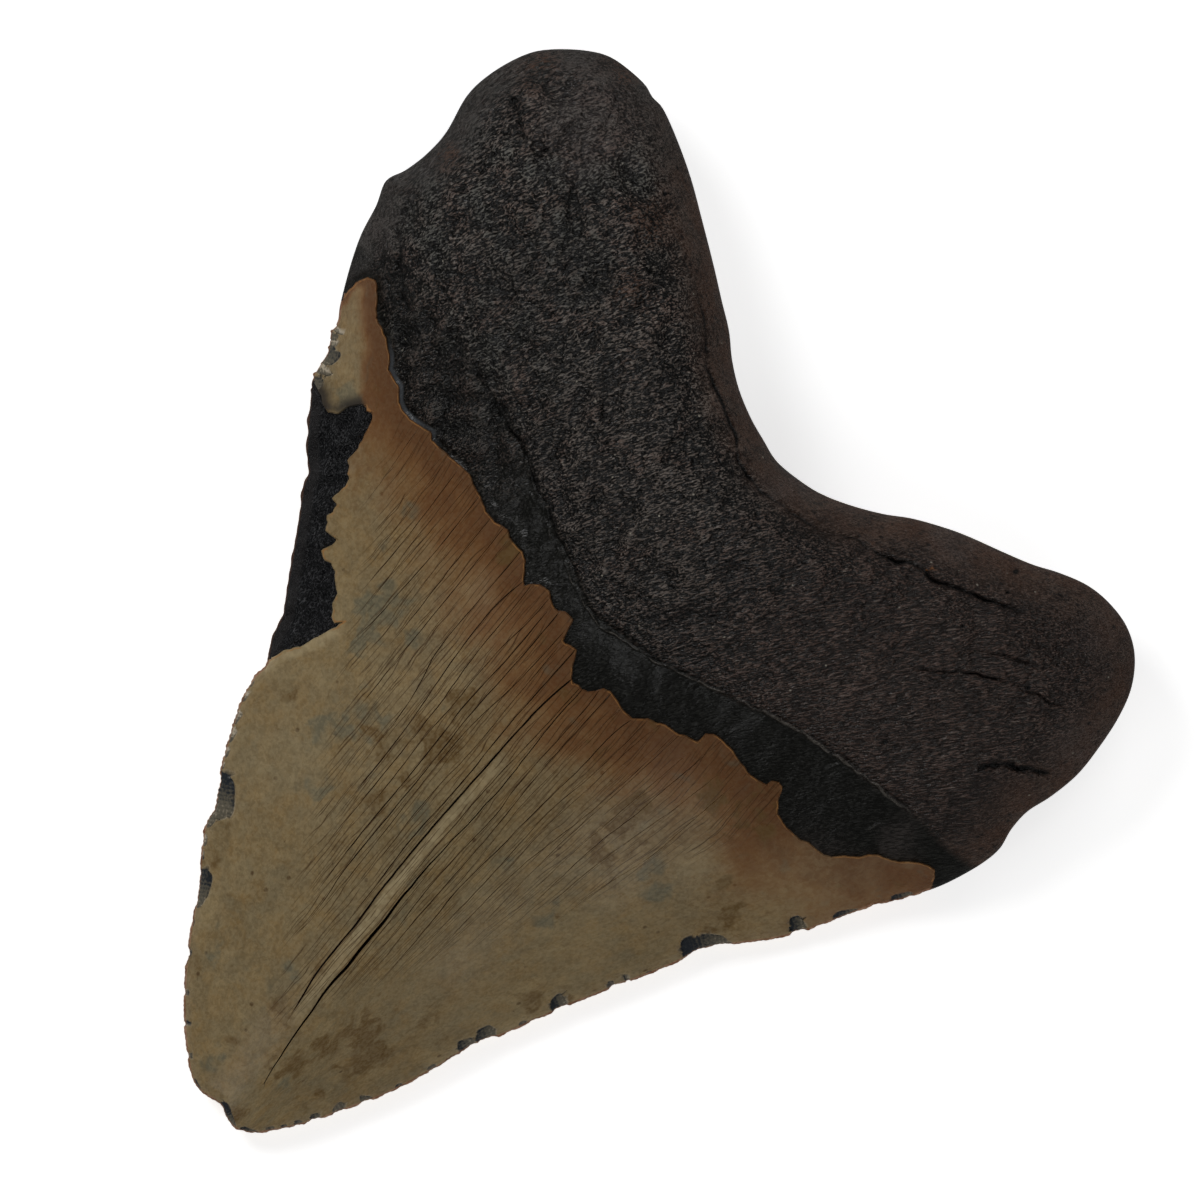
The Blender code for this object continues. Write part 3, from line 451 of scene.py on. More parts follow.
# %% The strong cracks
# Strength and line of each.
CRACKS = [
    (0.45, [(-36.9, 12.5), (-37.2, 9), (-37.5, 6)]),
    (0.55, [(-35.9, 12), (-35.4, 6), (-35.3, 1)]),
    (0.4, [(-34.5, 13), (-34.4, 8), (-34.6, 4)]),
    (0.45, [(-33, 12), (-32.9, 8), (-33.3, 3)]),
    (0.5, [(-31.4, 12.5), (-31.8, 5), (-32, 1)]),
    (0.5, [(-30.4, 12.5), (-30.3, 8), (-29.9, 3), (-29.8, -2)]),
    (0.85, [(-28.4, 12), (-28.1, 6), (-28, 0), (-28.1, -6)]),
    (0.7, [(-27.2, 12), (-27, 6), (-27, 3), (-26.4, -3), (-26.3, -9.5)]),
    (0.7, [(-26.1, 12), (-26.1, 6), (-26.2, 1), (-26, -4)]),
    (0.95, [(-24, 12), (-23.8, 5), (-23.9, 1), (-24.2, -7), (-24.5, -10), (-25.2, -15)]),
    (0.6, [(-22.4, 6), (-22.3, 0), (-22, -6), (-22, -13)]),
    (0.85, [(-21, 12), (-20.9, 6), (-20.7, 0), (-20.5, -6), (-20.6, -11)]),
    (0.85, [(-18.8, 11.5), (-18.7, 5), (-18.6, -1), (-18.5, -10), (-18.3, -16), (-18.4, -22)]),
    (0.65, [(-17.3, 10), (-17.2, 2), (-17.4, -3), (-17, -8), (-16.4, -17)]),
    (1, [(-15.1, 11.7), (-15.1, 6), (-15.2, -4), (-14.6, -8), (-14.1, -10), (-13.6, -13), (-13.2, -19),
     (-13.5, -25)]),
    (1.1, [(-12.3, 8.7), (-13, 5), (-13, 0), (-12.7, -5), (-12, -12), (-11.6, -17), (-11.4, -23),
     (-11.3, -28), (-11, -34)]),
    (1, [(-11, 7), (-10.9, 2), (-10.8, -4), (-10.3, -10), (-10.1, -16), (-10, -22), (-9.9, -30),
     (-10, -39)]),
    (0.9, [(-8.1, 9.6), (-8.2, 5), (-8.7, 1.5), (-8.9, -4), (-8.8, -10), (-9, -15), (-8.7, -22),
     (-8.7, -28), (-9, -35)]),
    (1.2, [(-7.2, 6), (-7.2, 0), (-7.6, -8), (-7.3, -16), (-7.2, -24), (-7.2, -30), (-7, -36), (-6.7, -41),
     (-6.9, -46)]),
    (1.15, [(-5.9, 9), (-5.9, 3), (-6.1, -4), (-6.2, -10), (-6, -19), (-5.9, -28), (-5.8, -36), (-5.2, -41),
     (-4.95, -49)]),
    (0.85, [(-3.8, 6.5), (-4, 1), (-4.4, -4), (-5.1, -9), (-5.3, -17), (-5, -27), (-4.7, -36), (-4.7, -43),
     (-4.6, -49)]),
    (0.8, [(-3, 3), (-3, -5), (-2.9, -12), (-3.3, -18), (-3.4, -24), (-3, -33), (-3.1, -38)]),
    (1.2, [(-1, 6.5), (-1.2, 1), (-1.4, -8), (-1.2, -15), (-1.4, -22), (-1.6, -27), (-1.3, -33),
     (-1.1, -37), (-0.9, -43), (-0.8, -46)]),
    (2, [(1.1, 3.2), (0.4, -1), (0, -8), (-0.2, -16), (-0.4, -24), (-0.35, -30), (-0.25, -35.4),
     (0.1, -41.1), (0.15, -47.7), (0.8, -52.5), (1.45, -56.5)]),
    (0.9, [(2.7, 3.2), (2.6, 0), (2.2, -8), (1.8, -15), (1.7, -21), (1.6, -27), (1.9, -34), (2.4, -37)]),
    (0.7, [(3, -26), (3.2, -33), (3.3, -39), (3.6, -45), (3.9, -50)]),
    (0.9, [(4.9, 4.4), (5.1, 2), (4.9, -5), (4.7, -13), (5.1, -17), (4.7, -22), (4.4, -31), (4.7, -37),
     (4.9, -42), (4.9, -46.5)]),
    (0.9, [(6.4, 5.2), (6.1, -2), (5.9, -9), (6.1, -20), (5.9, -30), (5.8, -37), (6, -42), (6.35, -49.5)]),
    (0.55, [(8.7, 4.5), (8.3, 2), (7.7, -4), (7.1, -10), (6.8, -15), (7, -20), (7.1, -31), (6.9, -37)]),
    (1, [(10.8, 4.4), (10.3, 3), (9.9, 0), (9.7, -5), (8.8, -13), (8.3, -20), (7.9, -24), (7.5, -29),
     (7.7, -35), (7.6, -41), (7.5, -47)]),
    (0.8, [(12.4, 4.8), (12, 0), (11.3, -6), (10.2, -12), (9.9, -20), (9.6, -27), (9.2, -33), (9, -41)]),
    (0.6, [(14, 5.8), (13, 1), (12.2, -7), (11.3, -13), (10.9, -20), (10.6, -27)]),
    (0.7, [(16.4, 6.5), (15.9, 1), (14.6, -8), (13.6, -13), (12.1, -20), (11.2, -29), (10.8, -41)]),
    (0.6, [(16.9, 6.4), (16.3, 1.5), (15.8, -2.5), (14.9, -9), (14, -16), (13.4, -24), (12.9, -34)]),
    (0.5, [(19, 3), (18.4, -1), (17.2, -8), (16, -16), (15.2, -24), (14.4, -27)]),
    (0.75, [(21.7, 9.6), (21, 5), (20.2, 0.5), (19.4, -5), (18, -11), (17, -19), (16.2, -27)]),
    (0.5, [(23.7, 3), (22.7, -2), (21.5, -6), (19.6, -14), (18.4, -21), (18.3, -24)]),
    (0.5, [(26.4, 3.5), (25.4, -3), (24.6, -8), (23, -13), (21.5, -18), (20, -26)]),
    (0.45, [(28.8, 4.5), (28.2, 0), (27.2, -5), (26.7, -9)]),
    (0.35, [(32.3, 1), (32, -2), (31.6, -4.5)]),
    (0.35, [(34.2, 3.5), (33.5, 1), (33, -1)]),
    (0.35, [(36.9, 2.8), (36.7, 1), (36.4, -1)])]
MAIN_CRACK = [
    (3.1, 3), (2.9, -3), (3.1, -9), (3.2, -15), (2.9, -21), (2.6, -27), (2.45, -33), (2.7, -37), (2.7, -42),
    (2.8, -46), (2.7, -49), (3, -53), (3.2, -56), (3.7, -60.5), (4.1, -63.3), (4.4, -65)]

# %% Lines of the cracks, strong and faint
CRACK_STEP = 0.8
CRACK_CORE = 0.05
CRACK_HALO = 0.12
CRACK_DEPTH = 0.12
FAINTEST_GROOVE = 0.45
STRAIGHTENINGS = 5
LEDGE_GAP = 3.5
MAIN_HALF_WIDTH = 0.2
MAIN_DEPTH = 0.7
MAIN_REACH = 0.6
SHORTEST_OVERLAP = 6
FEWEST_POINTS = 5
NARROWEST_GAP = 0.5
# The least and the most of a faint crack's place in its gap, its start, its length and its strength.
FAINT_LEAST = (0.15, 0.0, 0.3, 0.18)
FAINT_MOST = (0.85, 0.5, 0.75, 0.44)
FAINT_IN_EACH_GAP = 3


def straighten(line):
    """The same line with its small bends smoothed away."""
    line = line.copy()
    for _ in range(STRAIGHTENINGS):
        line[1:-1] = (line[:-2] + 2 * line[1:-1] + line[2:]) / 4
    return line


def wander(line, swing, seed):
    """A smooth line through the points with a slight natural unsteadiness, begun a little higher up."""
    line = np.array(line, dtype=float)
    upward = (line[0] - line[1]) / np.linalg.norm(line[0] - line[1])
    if line[0, 1] > 0:
        line = np.vstack([line[0] + LEDGE_GAP * upward, line])
    line = straighten(walk(line, CRACK_STEP))
    ends = np.sqrt(np.sin(np.linspace(0, np.pi, len(line))))
    shift = [noise.noise(Vector((seed * 7.31, y / 1.9, 0.5))) for _, y in line]
    line[:, 0] += swing * ends * np.array(shift)
    return line


def between(left, right, share, low, high):
    """A fainter crack part of the way between two strong ones, over a stretch of their common length."""
    top = min(left[0, 1], right[0, 1])
    bottom = max(left[-1, 1], right[-1, 1])
    if top - bottom < SHORTEST_OVERLAP:
        return None
    levels = np.arange(top - low * (top - bottom), top - high * (top - bottom), -CRACK_STEP)
    x_left = np.interp(-levels, -left[:, 1], left[:, 0])
    x_right = np.interp(-levels, -right[:, 1], right[:, 0])
    if len(levels) < FEWEST_POINTS or (x_right - x_left).min() < NARROWEST_GAP:
        return None
    return np.stack([x_left + share * (x_right - x_left), levels], axis=1)


chance = np.random.default_rng(7)
strong_cracks = [(strength, wander(line, 0.07, i)) for i, (strength, line) in enumerate(CRACKS)]
main_crack = wander(MAIN_CRACK, 0.13, 99)
neighbours = sorted(strong_cracks + [(1.0, main_crack)], key=lambda crack: crack[1][0, 0])
faint_cracks = []
for (_, left), (_, right) in zip(neighbours[:-1], neighbours[1:]):
    for _ in range(FAINT_IN_EACH_GAP):
        share, low, length, strength = chance.uniform(FAINT_LEAST, FAINT_MOST)
        line = between(left, right, share, low, min(low + length, 1))
        if line is not None:
            faint_cracks.append((strength, line))
print("strong cracks:", len(strong_cracks) + 1, "faint cracks:", len(faint_cracks))

# %% Depth and darkness of the cracks


def crack_width(strength):
    """How wide a crack is, as a share of the widest one."""
    return 0.5 + 0.5 * strength


def crack_fields(points):
    """Depth of the cracks, and how dark each spot is: 1 in the middle of a strong crack."""
    depth = np.zeros(len(points))
    dark = np.zeros(len(points))
    for strength, line in strong_cracks + faint_cracks:
        near = near_box(points, line, CRACK_HALO)
        if len(near) == 0:
            continue
        distance, index = nearest_on(points[near], line)
        distance = distance / crack_width(strength)
        along = index / (len(line) - 1)
        # The strongest crack of all keeps its depth almost to its end.
        fade = 12 if strength > 1.5 else 4
        taper = strength * np.clip(np.minimum(0.3 + along * 9, (1 - along) * fade), 0.1, 1)
        taper *= 0.8 + 0.5 * bumps(points[near], 40.0, 2.6, strength * 50)
        profile = np.interp(distance, [0, CRACK_CORE, CRACK_HALO], [1.0, 0.6, 0.0])
        dark[near] = np.maximum(dark[near], taper * profile)
        if strength > FAINTEST_GROOVE:
            groove = np.clip(1 - distance / CRACK_CORE, 0, 1)
            depth[near] = np.maximum(depth[near], CRACK_DEPTH * taper * groove)
    near = near_box(points, main_crack, MAIN_REACH)
    distance, _ = nearest_on(points[near], main_crack)
    width = main_crack_width(points[near, 1])
    dark[near] = np.maximum(dark[near], np.interp(distance / width, [0, 0.9, 1.35], [1.0, 0.85, 0.0]))
    groove = MAIN_DEPTH * np.clip(1 - distance / width, 0, 1) * width / MAIN_HALF_WIDTH
    depth[near] = np.maximum(depth[near], groove)
    return depth, dark


def main_crack_width(levels):
    """Half the width of the open crack: a hairline at both ends, widest above the tip."""
    return np.interp(levels, [-65, -60, -52, -46, -40, -33, -26, 3],
                     [0.04, 0.08, 0.12, 0.19, MAIN_HALF_WIDTH, 0.14, 0.07, 0.05])


# %% [markdown]
# ## The cutting edge
# The crown's edge is serrated like a bread knife, about four teeth to three millimetres. Age has worn
# it: sharp on the lower left, nearly gone elsewhere, nicked at random. The rim's points are moved in
# and out to cut the teeth, and short flutes run in from each notch.

# %% The serrated rim
SERRATION_PITCH = 0.74
SERRATION_DEPTH = 0.13
MIDDLE_OF_A_WAVE = 0.64
NICK_DEPTH = 0.6
LEFT_ROUGHNESS = 0.13
EXTRA_ON_THE_RIGHT = 0.1
BARE_ROUGHNESS = 0.12
RECESS_SHARE = 0.15
ROOT_STEP = 0.55
CROWN_STEP = 0.185
span_steps = [ROOT_STEP] * len(ROOT_RIM) + [CROWN_STEP] * len(CROWN_RIM)
fine_rim = walk(ROOT_RIM + CROWN_RIM, span_steps, closed=True)
travelled = np.append(0, np.cumsum(np.linalg.norm(np.diff(fine_rim, axis=0), axis=1)))


def along_the_rim(length, *seed):
    """Soft noise along the rim, with swells of about the given length."""
    return np.array([noise.noise(Vector((s / length, *seed))) for s in travelled])


# Which spots are on the crown, along the bare patch, and on the stretch that is still keen.
on_crown = smooth_step(-fine_rim[:, 1], -13, -11)
bare_edge = smooth_step(-np.abs(fine_rim[:, 1] + 4.5), -17, -15) * (fine_rim[:, 0] < 0)
keen = 0.45 + 0.55 * smooth_step(-np.abs(fine_rim[:, 1] + 33), -14, -8) * (fine_rim[:, 0] < 0)
drift = along_the_rim(2.3, 3.0, 7.0)
tooth_wave = np.abs(np.sin(np.pi * travelled / SERRATION_PITCH + 1.5 * drift)) - MIDDLE_OF_A_WAVE
cut = on_crown * (1 - bare_edge) * keen * tooth_wave
rough = along_the_rim(1.7, 0.0, 5.0)
nicks = along_the_rim(4.1, 8.0, 0.0)
unevenness = (LEFT_ROUGHNESS + EXTRA_ON_THE_RIGHT * (fine_rim[:, 0] > 0)) * rough
push = SERRATION_DEPTH * cut + on_crown * (unevenness - NICK_DEPTH * np.clip(nicks - 0.25, 0, 1))
push += BARE_ROUGHNESS * bare_edge * rough
for place, half, reach, _, _ in CHIPS:
    nearest = np.argmin(np.hypot(*(fine_rim - place).T))
    share = np.abs(travelled - travelled[nearest]) / (1.15 * half)
    push -= RECESS_SHARE * reach * smooth_step(share, 1.0, 0.55)
ahead = np.roll(fine_rim, -1, axis=0) - np.roll(fine_rim, 1, axis=0)
ahead /= np.linalg.norm(ahead, axis=1)[:, None]
inward = np.stack([ahead[:, 1], -ahead[:, 0]], axis=1)
smooth_fine_rim = fine_rim.copy()
fine_rim = fine_rim - inward * push[:, None]
print("points on the serrated rim:", len(fine_rim))

# %% Flakes knocked off the edge
# A flake scar is easiest to draw in edge coordinates: how far along the rim a spot is, and how far in.
CHIP_STEP = 0.08
RIB_PITCH = 0.62
RIB_DEPTH = 0.05
smooth_loop = np.vstack([smooth_fine_rim, smooth_fine_rim[:1]])
travelled = np.append(0, np.cumsum(np.linalg.norm(np.diff(smooth_fine_rim, axis=0), axis=1)))


def edge_place(points):
    """Distance along the rim and in from it, and the number of the nearest point on the rim."""
    distance, index = nearest_on(points, smooth_loop)
    index = index % len(smooth_fine_rim)
    along = travelled[index] + ((points - smooth_fine_rim[index]) * ahead[index]).sum(axis=1)
    return along, distance, index


def chip_outline(share, reach, slant):
    """How far in a flake scar reaches, at a share of its half length from its middle."""
    return reach * (1 + slant * share) * np.clip(1 - np.abs(share) ** 4, 0, 1) ** 0.4


chip_centres = edge_place(np.array([chip[0] for chip in CHIPS]))[0]


def chip_fields(points):
    """Depth of the flake scars, how much of a scar each spot is, and the tone of its stone with painted light
    and shade.
    """
    along, distance, _ = edge_place(points)
    depth, broken, shade = (np.zeros(len(points)) for _ in range(3))
    uneven = bumps(points, 1.5, 1.5, 19.0)
    for centre, (_, half, reach, slant, dark) in zip(chip_centres, CHIPS):
        share = (along - centre) / half
        inner_edge = chip_outline(share + 0.12 * uneven, reach, slant) * (1 + 0.06 * uneven)
        margin = inner_edge - distance
        scar = smooth_step(margin, 0, CHIP_STEP) * (np.abs(share) < 1.1)
        level = np.clip(distance / np.maximum(inner_edge, 0.1), 0, 1)
        # A scar scoops in from the rim, with ribs across it, and its far side catches the light. Its tone is
        # painted lighter towards one end and darker towards the other and along its inner wall, as painted
        # light and shade.
        ribs = np.sin(2 * np.pi * (along - centre) * (1 + 0.25 * level) / RIB_PITCH + 2 * uneven)
        scoop = (0.22 + 0.16 * reach) * (0.65 + 0.35 * level ** 2) + RIB_DEPTH * ribs
        depth = np.maximum(depth, scar * scoop)
        lit = smooth_step(share, 0.9, -0.8)
        tone = dark * (1.0 - 0.6 * lit) + (1 - dark) * 0.5 * lit + 0.10 * ribs
        tone += 0.3 * smooth_step(margin, 0.3, 0.0)
        shade = np.where(scar > broken, np.clip(tone, 0, 1), shade)
        broken = np.maximum(broken, scar)
    return depth, broken, shade


# %% [markdown]
# ## Two height surfaces
# Every detail above is now one number to add to the height of a spot, so the whole upper face is a
# single function. Bone gets lumps and fibres that run along the root; bare dentine is rougher still.

# %% Heights of the upper and lower faces
ENAMEL_THICKNESS = 0.45
ENAMEL_LIP_RUN = 0.16
LOWER_ENAMEL_THICKNESS = 0.3
LOWER_LIP_FADE = 5.0
FAR_AWAY = 9


def fan(points):
    """The points in grain coordinates: lines of equal x follow the bone's fibres and the cracks."""
    x, y = points.T
    x = x * (1 - 0.0045 * np.maximum(y - 12, 0))
    spread = x
    for _ in range(4):
        closing_in = 0.0012 + 0.0075 * smooth_step(spread, -8, 20) - 0.003 * smooth_step(-spread, 15, 30)
        spread = x / (1 + closing_in * np.minimum(y, 0))
    return np.stack([spread, y], axis=1)


def coarseness(points):
    """How rough the bone is: roughest on the left and in the middle, smoother towards every edge."""
    left = smooth_step(-points[:, 0], -34, 6)
    return (0.35 + 0.65 * left) * (0.3 + 0.7 * smooth_step(rim_distance(points), 1, 9 - 4 * left))


def swells(points):
    """The bone's swells, three or four millimetres wide."""
    return bumps(points, 3.2, 3.8, 41.0)


def bone_knobs(points):
    """The knobs and dents of the bone, a millimetre or two wide."""
    grain = fan(points)
    knobs = 0.30 * bumps(grain, 1.9, 2.8, 4.0) + 0.20 * bumps(grain, 0.8, 1.5, 9.0)
    return knobs + 0.12 - 0.30 * np.abs(bumps(grain, 1.2, 1.7, 21.0))


def bone_relief(points):
    """Height of the bone's broad lumps and of its knobs."""
    lumps = 0.45 * bumps(points, 6.5, 6.5, 0.0) + 1.1 * coarseness(points) * swells(points)
    return lumps + 1.6 * coarseness(points) * bone_knobs(points)


# %% The two faces


def upper_surface(points, on_rim):
    """Height of the upper face and the masks that its materials need, spot by spot."""
    distance = np.where(on_rim, 0, rim_distance(points))
    rim = rim_height(points)
    crown = reach_inside(points, ledge_line, ROUND_THE_TIP)
    bare = reach_inside(points, patch_line, LEFT_OF_THE_PATCH)
    cover = np.minimum(crown, -bare)
    root = reach_inside(points, root_line, ROUND_THE_ROOT)
    bone = smooth_step(root, 0, 4)
    # Bone is lumpy all over; the collar is smooth on the right and lumpier towards the left.
    leftward = -points[:, 0]
    lumpy = 0.1 + 0.35 * smooth_step(leftward, 2, 14) + 0.45 * smooth_step(leftward, 19, 28)
    collar_relief = lumpy * (1.5 * bumps(points, 2.3, 2.9, 2.0) - 0.9 * np.abs(bumps(points, 1.1, 1.3, 6.0)))
    collar_relief *= smooth_step(-cover, 0.2, 1.3)
    knob = bone * (bone_knobs(points) + 0.5 * swells(points)) + (1 - bone) * 0.9 * collar_relief
    form = upper_form(points) + bone * bone_relief(points) + (1 - bone) * collar_relief
    # Enamel adds its own thickness and undulates faintly; the bare patch is gritty.
    form += ENAMEL_THICKNESS * smooth_step(cover, -ENAMEL_LIP_RUN, 0)
    form += 0.05 * bumps(points, 7.0, 11.0, 13.0) * smooth_step(cover, 0, 2)
    grit = 0.3 * bumps(points, 0.9, 1.1, 31.0) - 0.16 * np.abs(bumps(points, 0.6, 0.7, 33.0))
    form += grit * smooth_step(bare, 0.1, 0.7) * (0.3 + 0.7 * smooth_step(distance, 1.2, 2.2))
    chips, broken, stone_and_shade = chip_fields(points)
    cracks, dark = crack_fields(points)
    on_enamel = smooth_step(cover, -0.1, 0.1)
    form -= furrow_depth(points) + pit_depth(points) + chips + cracks * on_enamel
    # Short flutes run in from the notches of the cutting edge.
    edge_index = edge_place(points)[2]
    flute = 0.16 * np.clip(0.3 - cut[edge_index], 0, 1) * np.exp(-distance / 0.4) * on_crown[edge_index]
    form = np.maximum(form - flute, rim + 0.2)
    height = rim + (form - rim) * roll_over(distance, rim_reach(points))
    masks = {"cover": cover, "bone": smooth_step(root, -0.6, 0.9), "crack": dark * on_enamel,
             "chip": broken * (cover > -0.3), "rim": distance, "bare": bare, "fall": crown,
             "stone_and_shade": stone_and_shade, "knob": knob, "hollow": hollows(points), "coarse": coarseness(points)}
    return height, masks


def lower_surface(points, on_rim):
    """Height of the lower face, cut flat where it would fall below zero, and its masks."""
    distance = np.where(on_rim, 0, rim_distance(points))
    rim = rim_height(points)
    cover = reach_inside(points, lower_ledge_line, ROUND_THE_TIP)
    ledge = LOWER_ENAMEL_THICKNESS * smooth_step(-cover, 0, ENAMEL_LIP_RUN)
    ledge *= 1 - smooth_step(-cover, ENAMEL_LIP_RUN, LOWER_LIP_FADE)
    bone = smooth_step(-cover, 0, 4)
    relief = 0.5 * bone * (bone_relief(points) + 0.3) + 0.03 * bumps(points, 5.0, 9.0, 17.0)
    form = np.maximum(lower_form(points) + ledge + relief, 0)
    height = rim + (form - rim) * roll_over(distance, 0.9 * rim_reach(points))
    blank = np.zeros(len(points))
    masks = {"cover": cover, "bone": smooth_step(-cover, -0.5, 2.0), "crack": blank, "chip": blank,
             "rim": distance, "bare": blank - FAR_AWAY, "fall": cover, "stone_and_shade": blank,
             "knob": bone_knobs(points), "hollow": blank, "coarse": coarseness(points)}
    return height, masks


# %% [markdown]
# ## Triangles where they are needed
# Smooth enamel needs few triangles, bone many, and a crack wants its own rows of points. A Delaunay
# triangulation takes any cloud of points, keeps the lines it is told to keep, and fills in between.

# %% Rows of points and the triangulation
BONE_GRID = 0.43
ENAMEL_GRID = 0.8
LOWER_GRID = 1.05
CLEAR_OF_RIM = 0.5
ROW_GAP = 0.1
BONE_GAP = 0.26
ENAMEL_GAP = 0.45
LOWER_GAP = 0.6
# How far in each row of points lies, and which of the rim's points it repeats.
RIM_ROWS = [(0.22, 1), (0.5, 2), (0.95, 4), (1.5, 6), (2.2, 6)]
CHIP_LEVELS = (0.3, 0.55, 0.8, 0.96, 1.06)
# What Blender's triangulation should return, and how close two points count as one.
WITHIN_THE_RIM = 1
SAME_SPOT = 1e-5


def offset_line(line, shift):
    """The same line moved sideways; a positive shift is to the left of its direction."""
    heading = np.gradient(line, axis=0)
    heading /= np.linalg.norm(heading, axis=1)[:, None] + 1e-12
    return line + np.asarray(shift)[..., None] * np.stack([-heading[:, 1], heading[:, 0]], axis=1)


def grid(step):
    """A staggered grid of points over the whole tooth."""
    found = []
    for row, y in enumerate(np.arange(-75, 75, step * 0.866)):
        for x in np.arange(-64 + step / 2 * (row % 2), 64, step):
            found.append((x, y))
    return np.array(found)


def away_from(points, placed, gap):
    """The points that are at least a gap away from all those already placed."""
    return points[nearest_points(points, placed)[1] > gap]


def inside_rim(rows, gap):
    """All the rows' points that lie inside the rim by more than a gap."""
    points = np.vstack(rows)
    points = points[inside(points, smooth_fine_rim)]
    return points[rim_distance(points) > gap]


def rim_rows():
    """Rows of points just inside the rim, for the flutes and the rolled edge."""
    return inside_rim([(smooth_fine_rim + inward * distance)[::every] for distance, every in RIM_ROWS], 0.2)


def chip_rows():
    """Rows of points in and round each flake scar, and rings of points in each pit."""
    rows = []
    loop = np.append(travelled, travelled[-1] + CROWN_STEP)
    for centre, (_, half, reach, slant, _) in zip(chip_centres, CHIPS):
        share = np.arange(-1.06, 1.07, 0.17 / half)
        start = np.array([np.interp(centre + share * half, loop, smooth_loop[:, k]) for k in (0, 1)]).T
        heading = np.array([np.interp(centre + share * half, travelled, inward[:, k]) for k in (0, 1)]).T
        for level in CHIP_LEVELS:
            rows.append(start + heading * np.maximum(level * chip_outline(share, reach, slant), 0.3)[:, None])
    for (x, y), radius, _ in PITS:
        for share in (0.0, 0.3, 0.6, 1.0):
            angle = np.arange(0, 2 * np.pi, min(2, 0.28 / (share * radius + 1e-3)))
            rows.append(share * radius * np.stack([np.cos(angle), np.sin(angle)], axis=1) + (x, y))
    return inside_rim(rows, 0.27)


def with_sides(line, shifts):
    """The line, and a line on either side of it at every given distance."""
    return [line] + [offset_line(line, side * shift) for shift in shifts for side in (1, -1)]


def upper_lines():
    """The lines that the upper face's triangles have to follow."""
    lines = [ledge_line, offset_line(ledge_line, ENAMEL_LIP_RUN)]
    lines += [patch_line, offset_line(patch_line, -ENAMEL_LIP_RUN)]
    for (half_width, _, _), line in zip(FURROWS, furrow_lines):
        lines += with_sides(line, [half_width])
    for strength, line in strong_cracks + faint_cracks:
        shifts = (CRACK_CORE, CRACK_HALO) if strength > FAINTEST_GROOVE else (CRACK_HALO,)
        lines += with_sides(line, [shift * crack_width(strength) for shift in shifts])
    width = main_crack_width(main_crack[:, 1])
    return lines + with_sides(main_crack, [share * width for share in (0.45, 1.0, 1.35)])


# %% Triangles over the outline


def sheet(lines, loose, fill):
    """Triangles over the outline that follow the lines and use the loose points, then fill what is left."""
    points = [fine_rim]
    first = len(fine_rim)
    edges = [(i, (i + 1) % first) for i in range(first)]
    for line in lines:
        clear = inside(line, smooth_fine_rim) & (rim_distance(line) > CLEAR_OF_RIM)
        numbers = first + np.cumsum(clear) - 1
        edges += [(numbers[i], numbers[i + 1]) for i in range(len(line) - 1) if clear[i] and clear[i + 1]]
        points.append(line[clear])
        first += int(clear.sum())
    placed = np.vstack(points)
    for spots, gap in [(loose, ROW_GAP)] + fill:
        placed = np.vstack([placed, away_from(spots, placed, gap)])
    flat = [Vector(spot) for spot in placed]
    edges = [(int(a), int(b)) for a, b in edges]
    spots, _, faces, _, _, _ = delaunay_2d_cdt(flat, edges, [], WITHIN_THE_RIM, SAME_SPOT, False)
    spots = np.array([tuple(spot) for spot in spots])
    faces = np.array([tuple(face) for face in faces])
    return spots, faces[inside(spots[faces].mean(axis=1), fine_rim)]


def area_fill(step, line, closing, side, clear):
    """A grid of points well clear of a line: inside its area where side is 1, outside where it is -1."""
    points = inside_rim([grid(step)], 0.8 * step)
    return points[side * reach_inside(points, line, closing) > clear]


fills = [(area_fill(BONE_GRID, ledge_line, ROUND_THE_TIP, -1, 0.2), BONE_GAP),
         (area_fill(BONE_GRID, patch_line, LEFT_OF_THE_PATCH, 1, 0.2), BONE_GAP),
         (area_fill(ENAMEL_GRID, ledge_line, ROUND_THE_TIP, 1, 0.3), ENAMEL_GAP)]
upper, upper_faces = sheet(upper_lines(), np.vstack([rim_rows(), chip_rows()]), fills)
lower_lines = [lower_ledge_line, offset_line(lower_ledge_line, ENAMEL_LIP_RUN)]
lower_fill = inside_rim([grid(LOWER_GRID)], 0.9 * LOWER_GRID)
lower, lower_faces = sheet(lower_lines, rim_rows(), [(lower_fill, LOWER_GAP)])
print("triangles above:", len(upper_faces), "below:", len(lower_faces))

# %% [markdown]
# ## Stains
# Minerals soaked in unevenly. Soft brown, grey-green, pale and rusty clouds lie where they do on the
# real tooth, and the narrow strip between the two strongest cracks is paler than the rest.

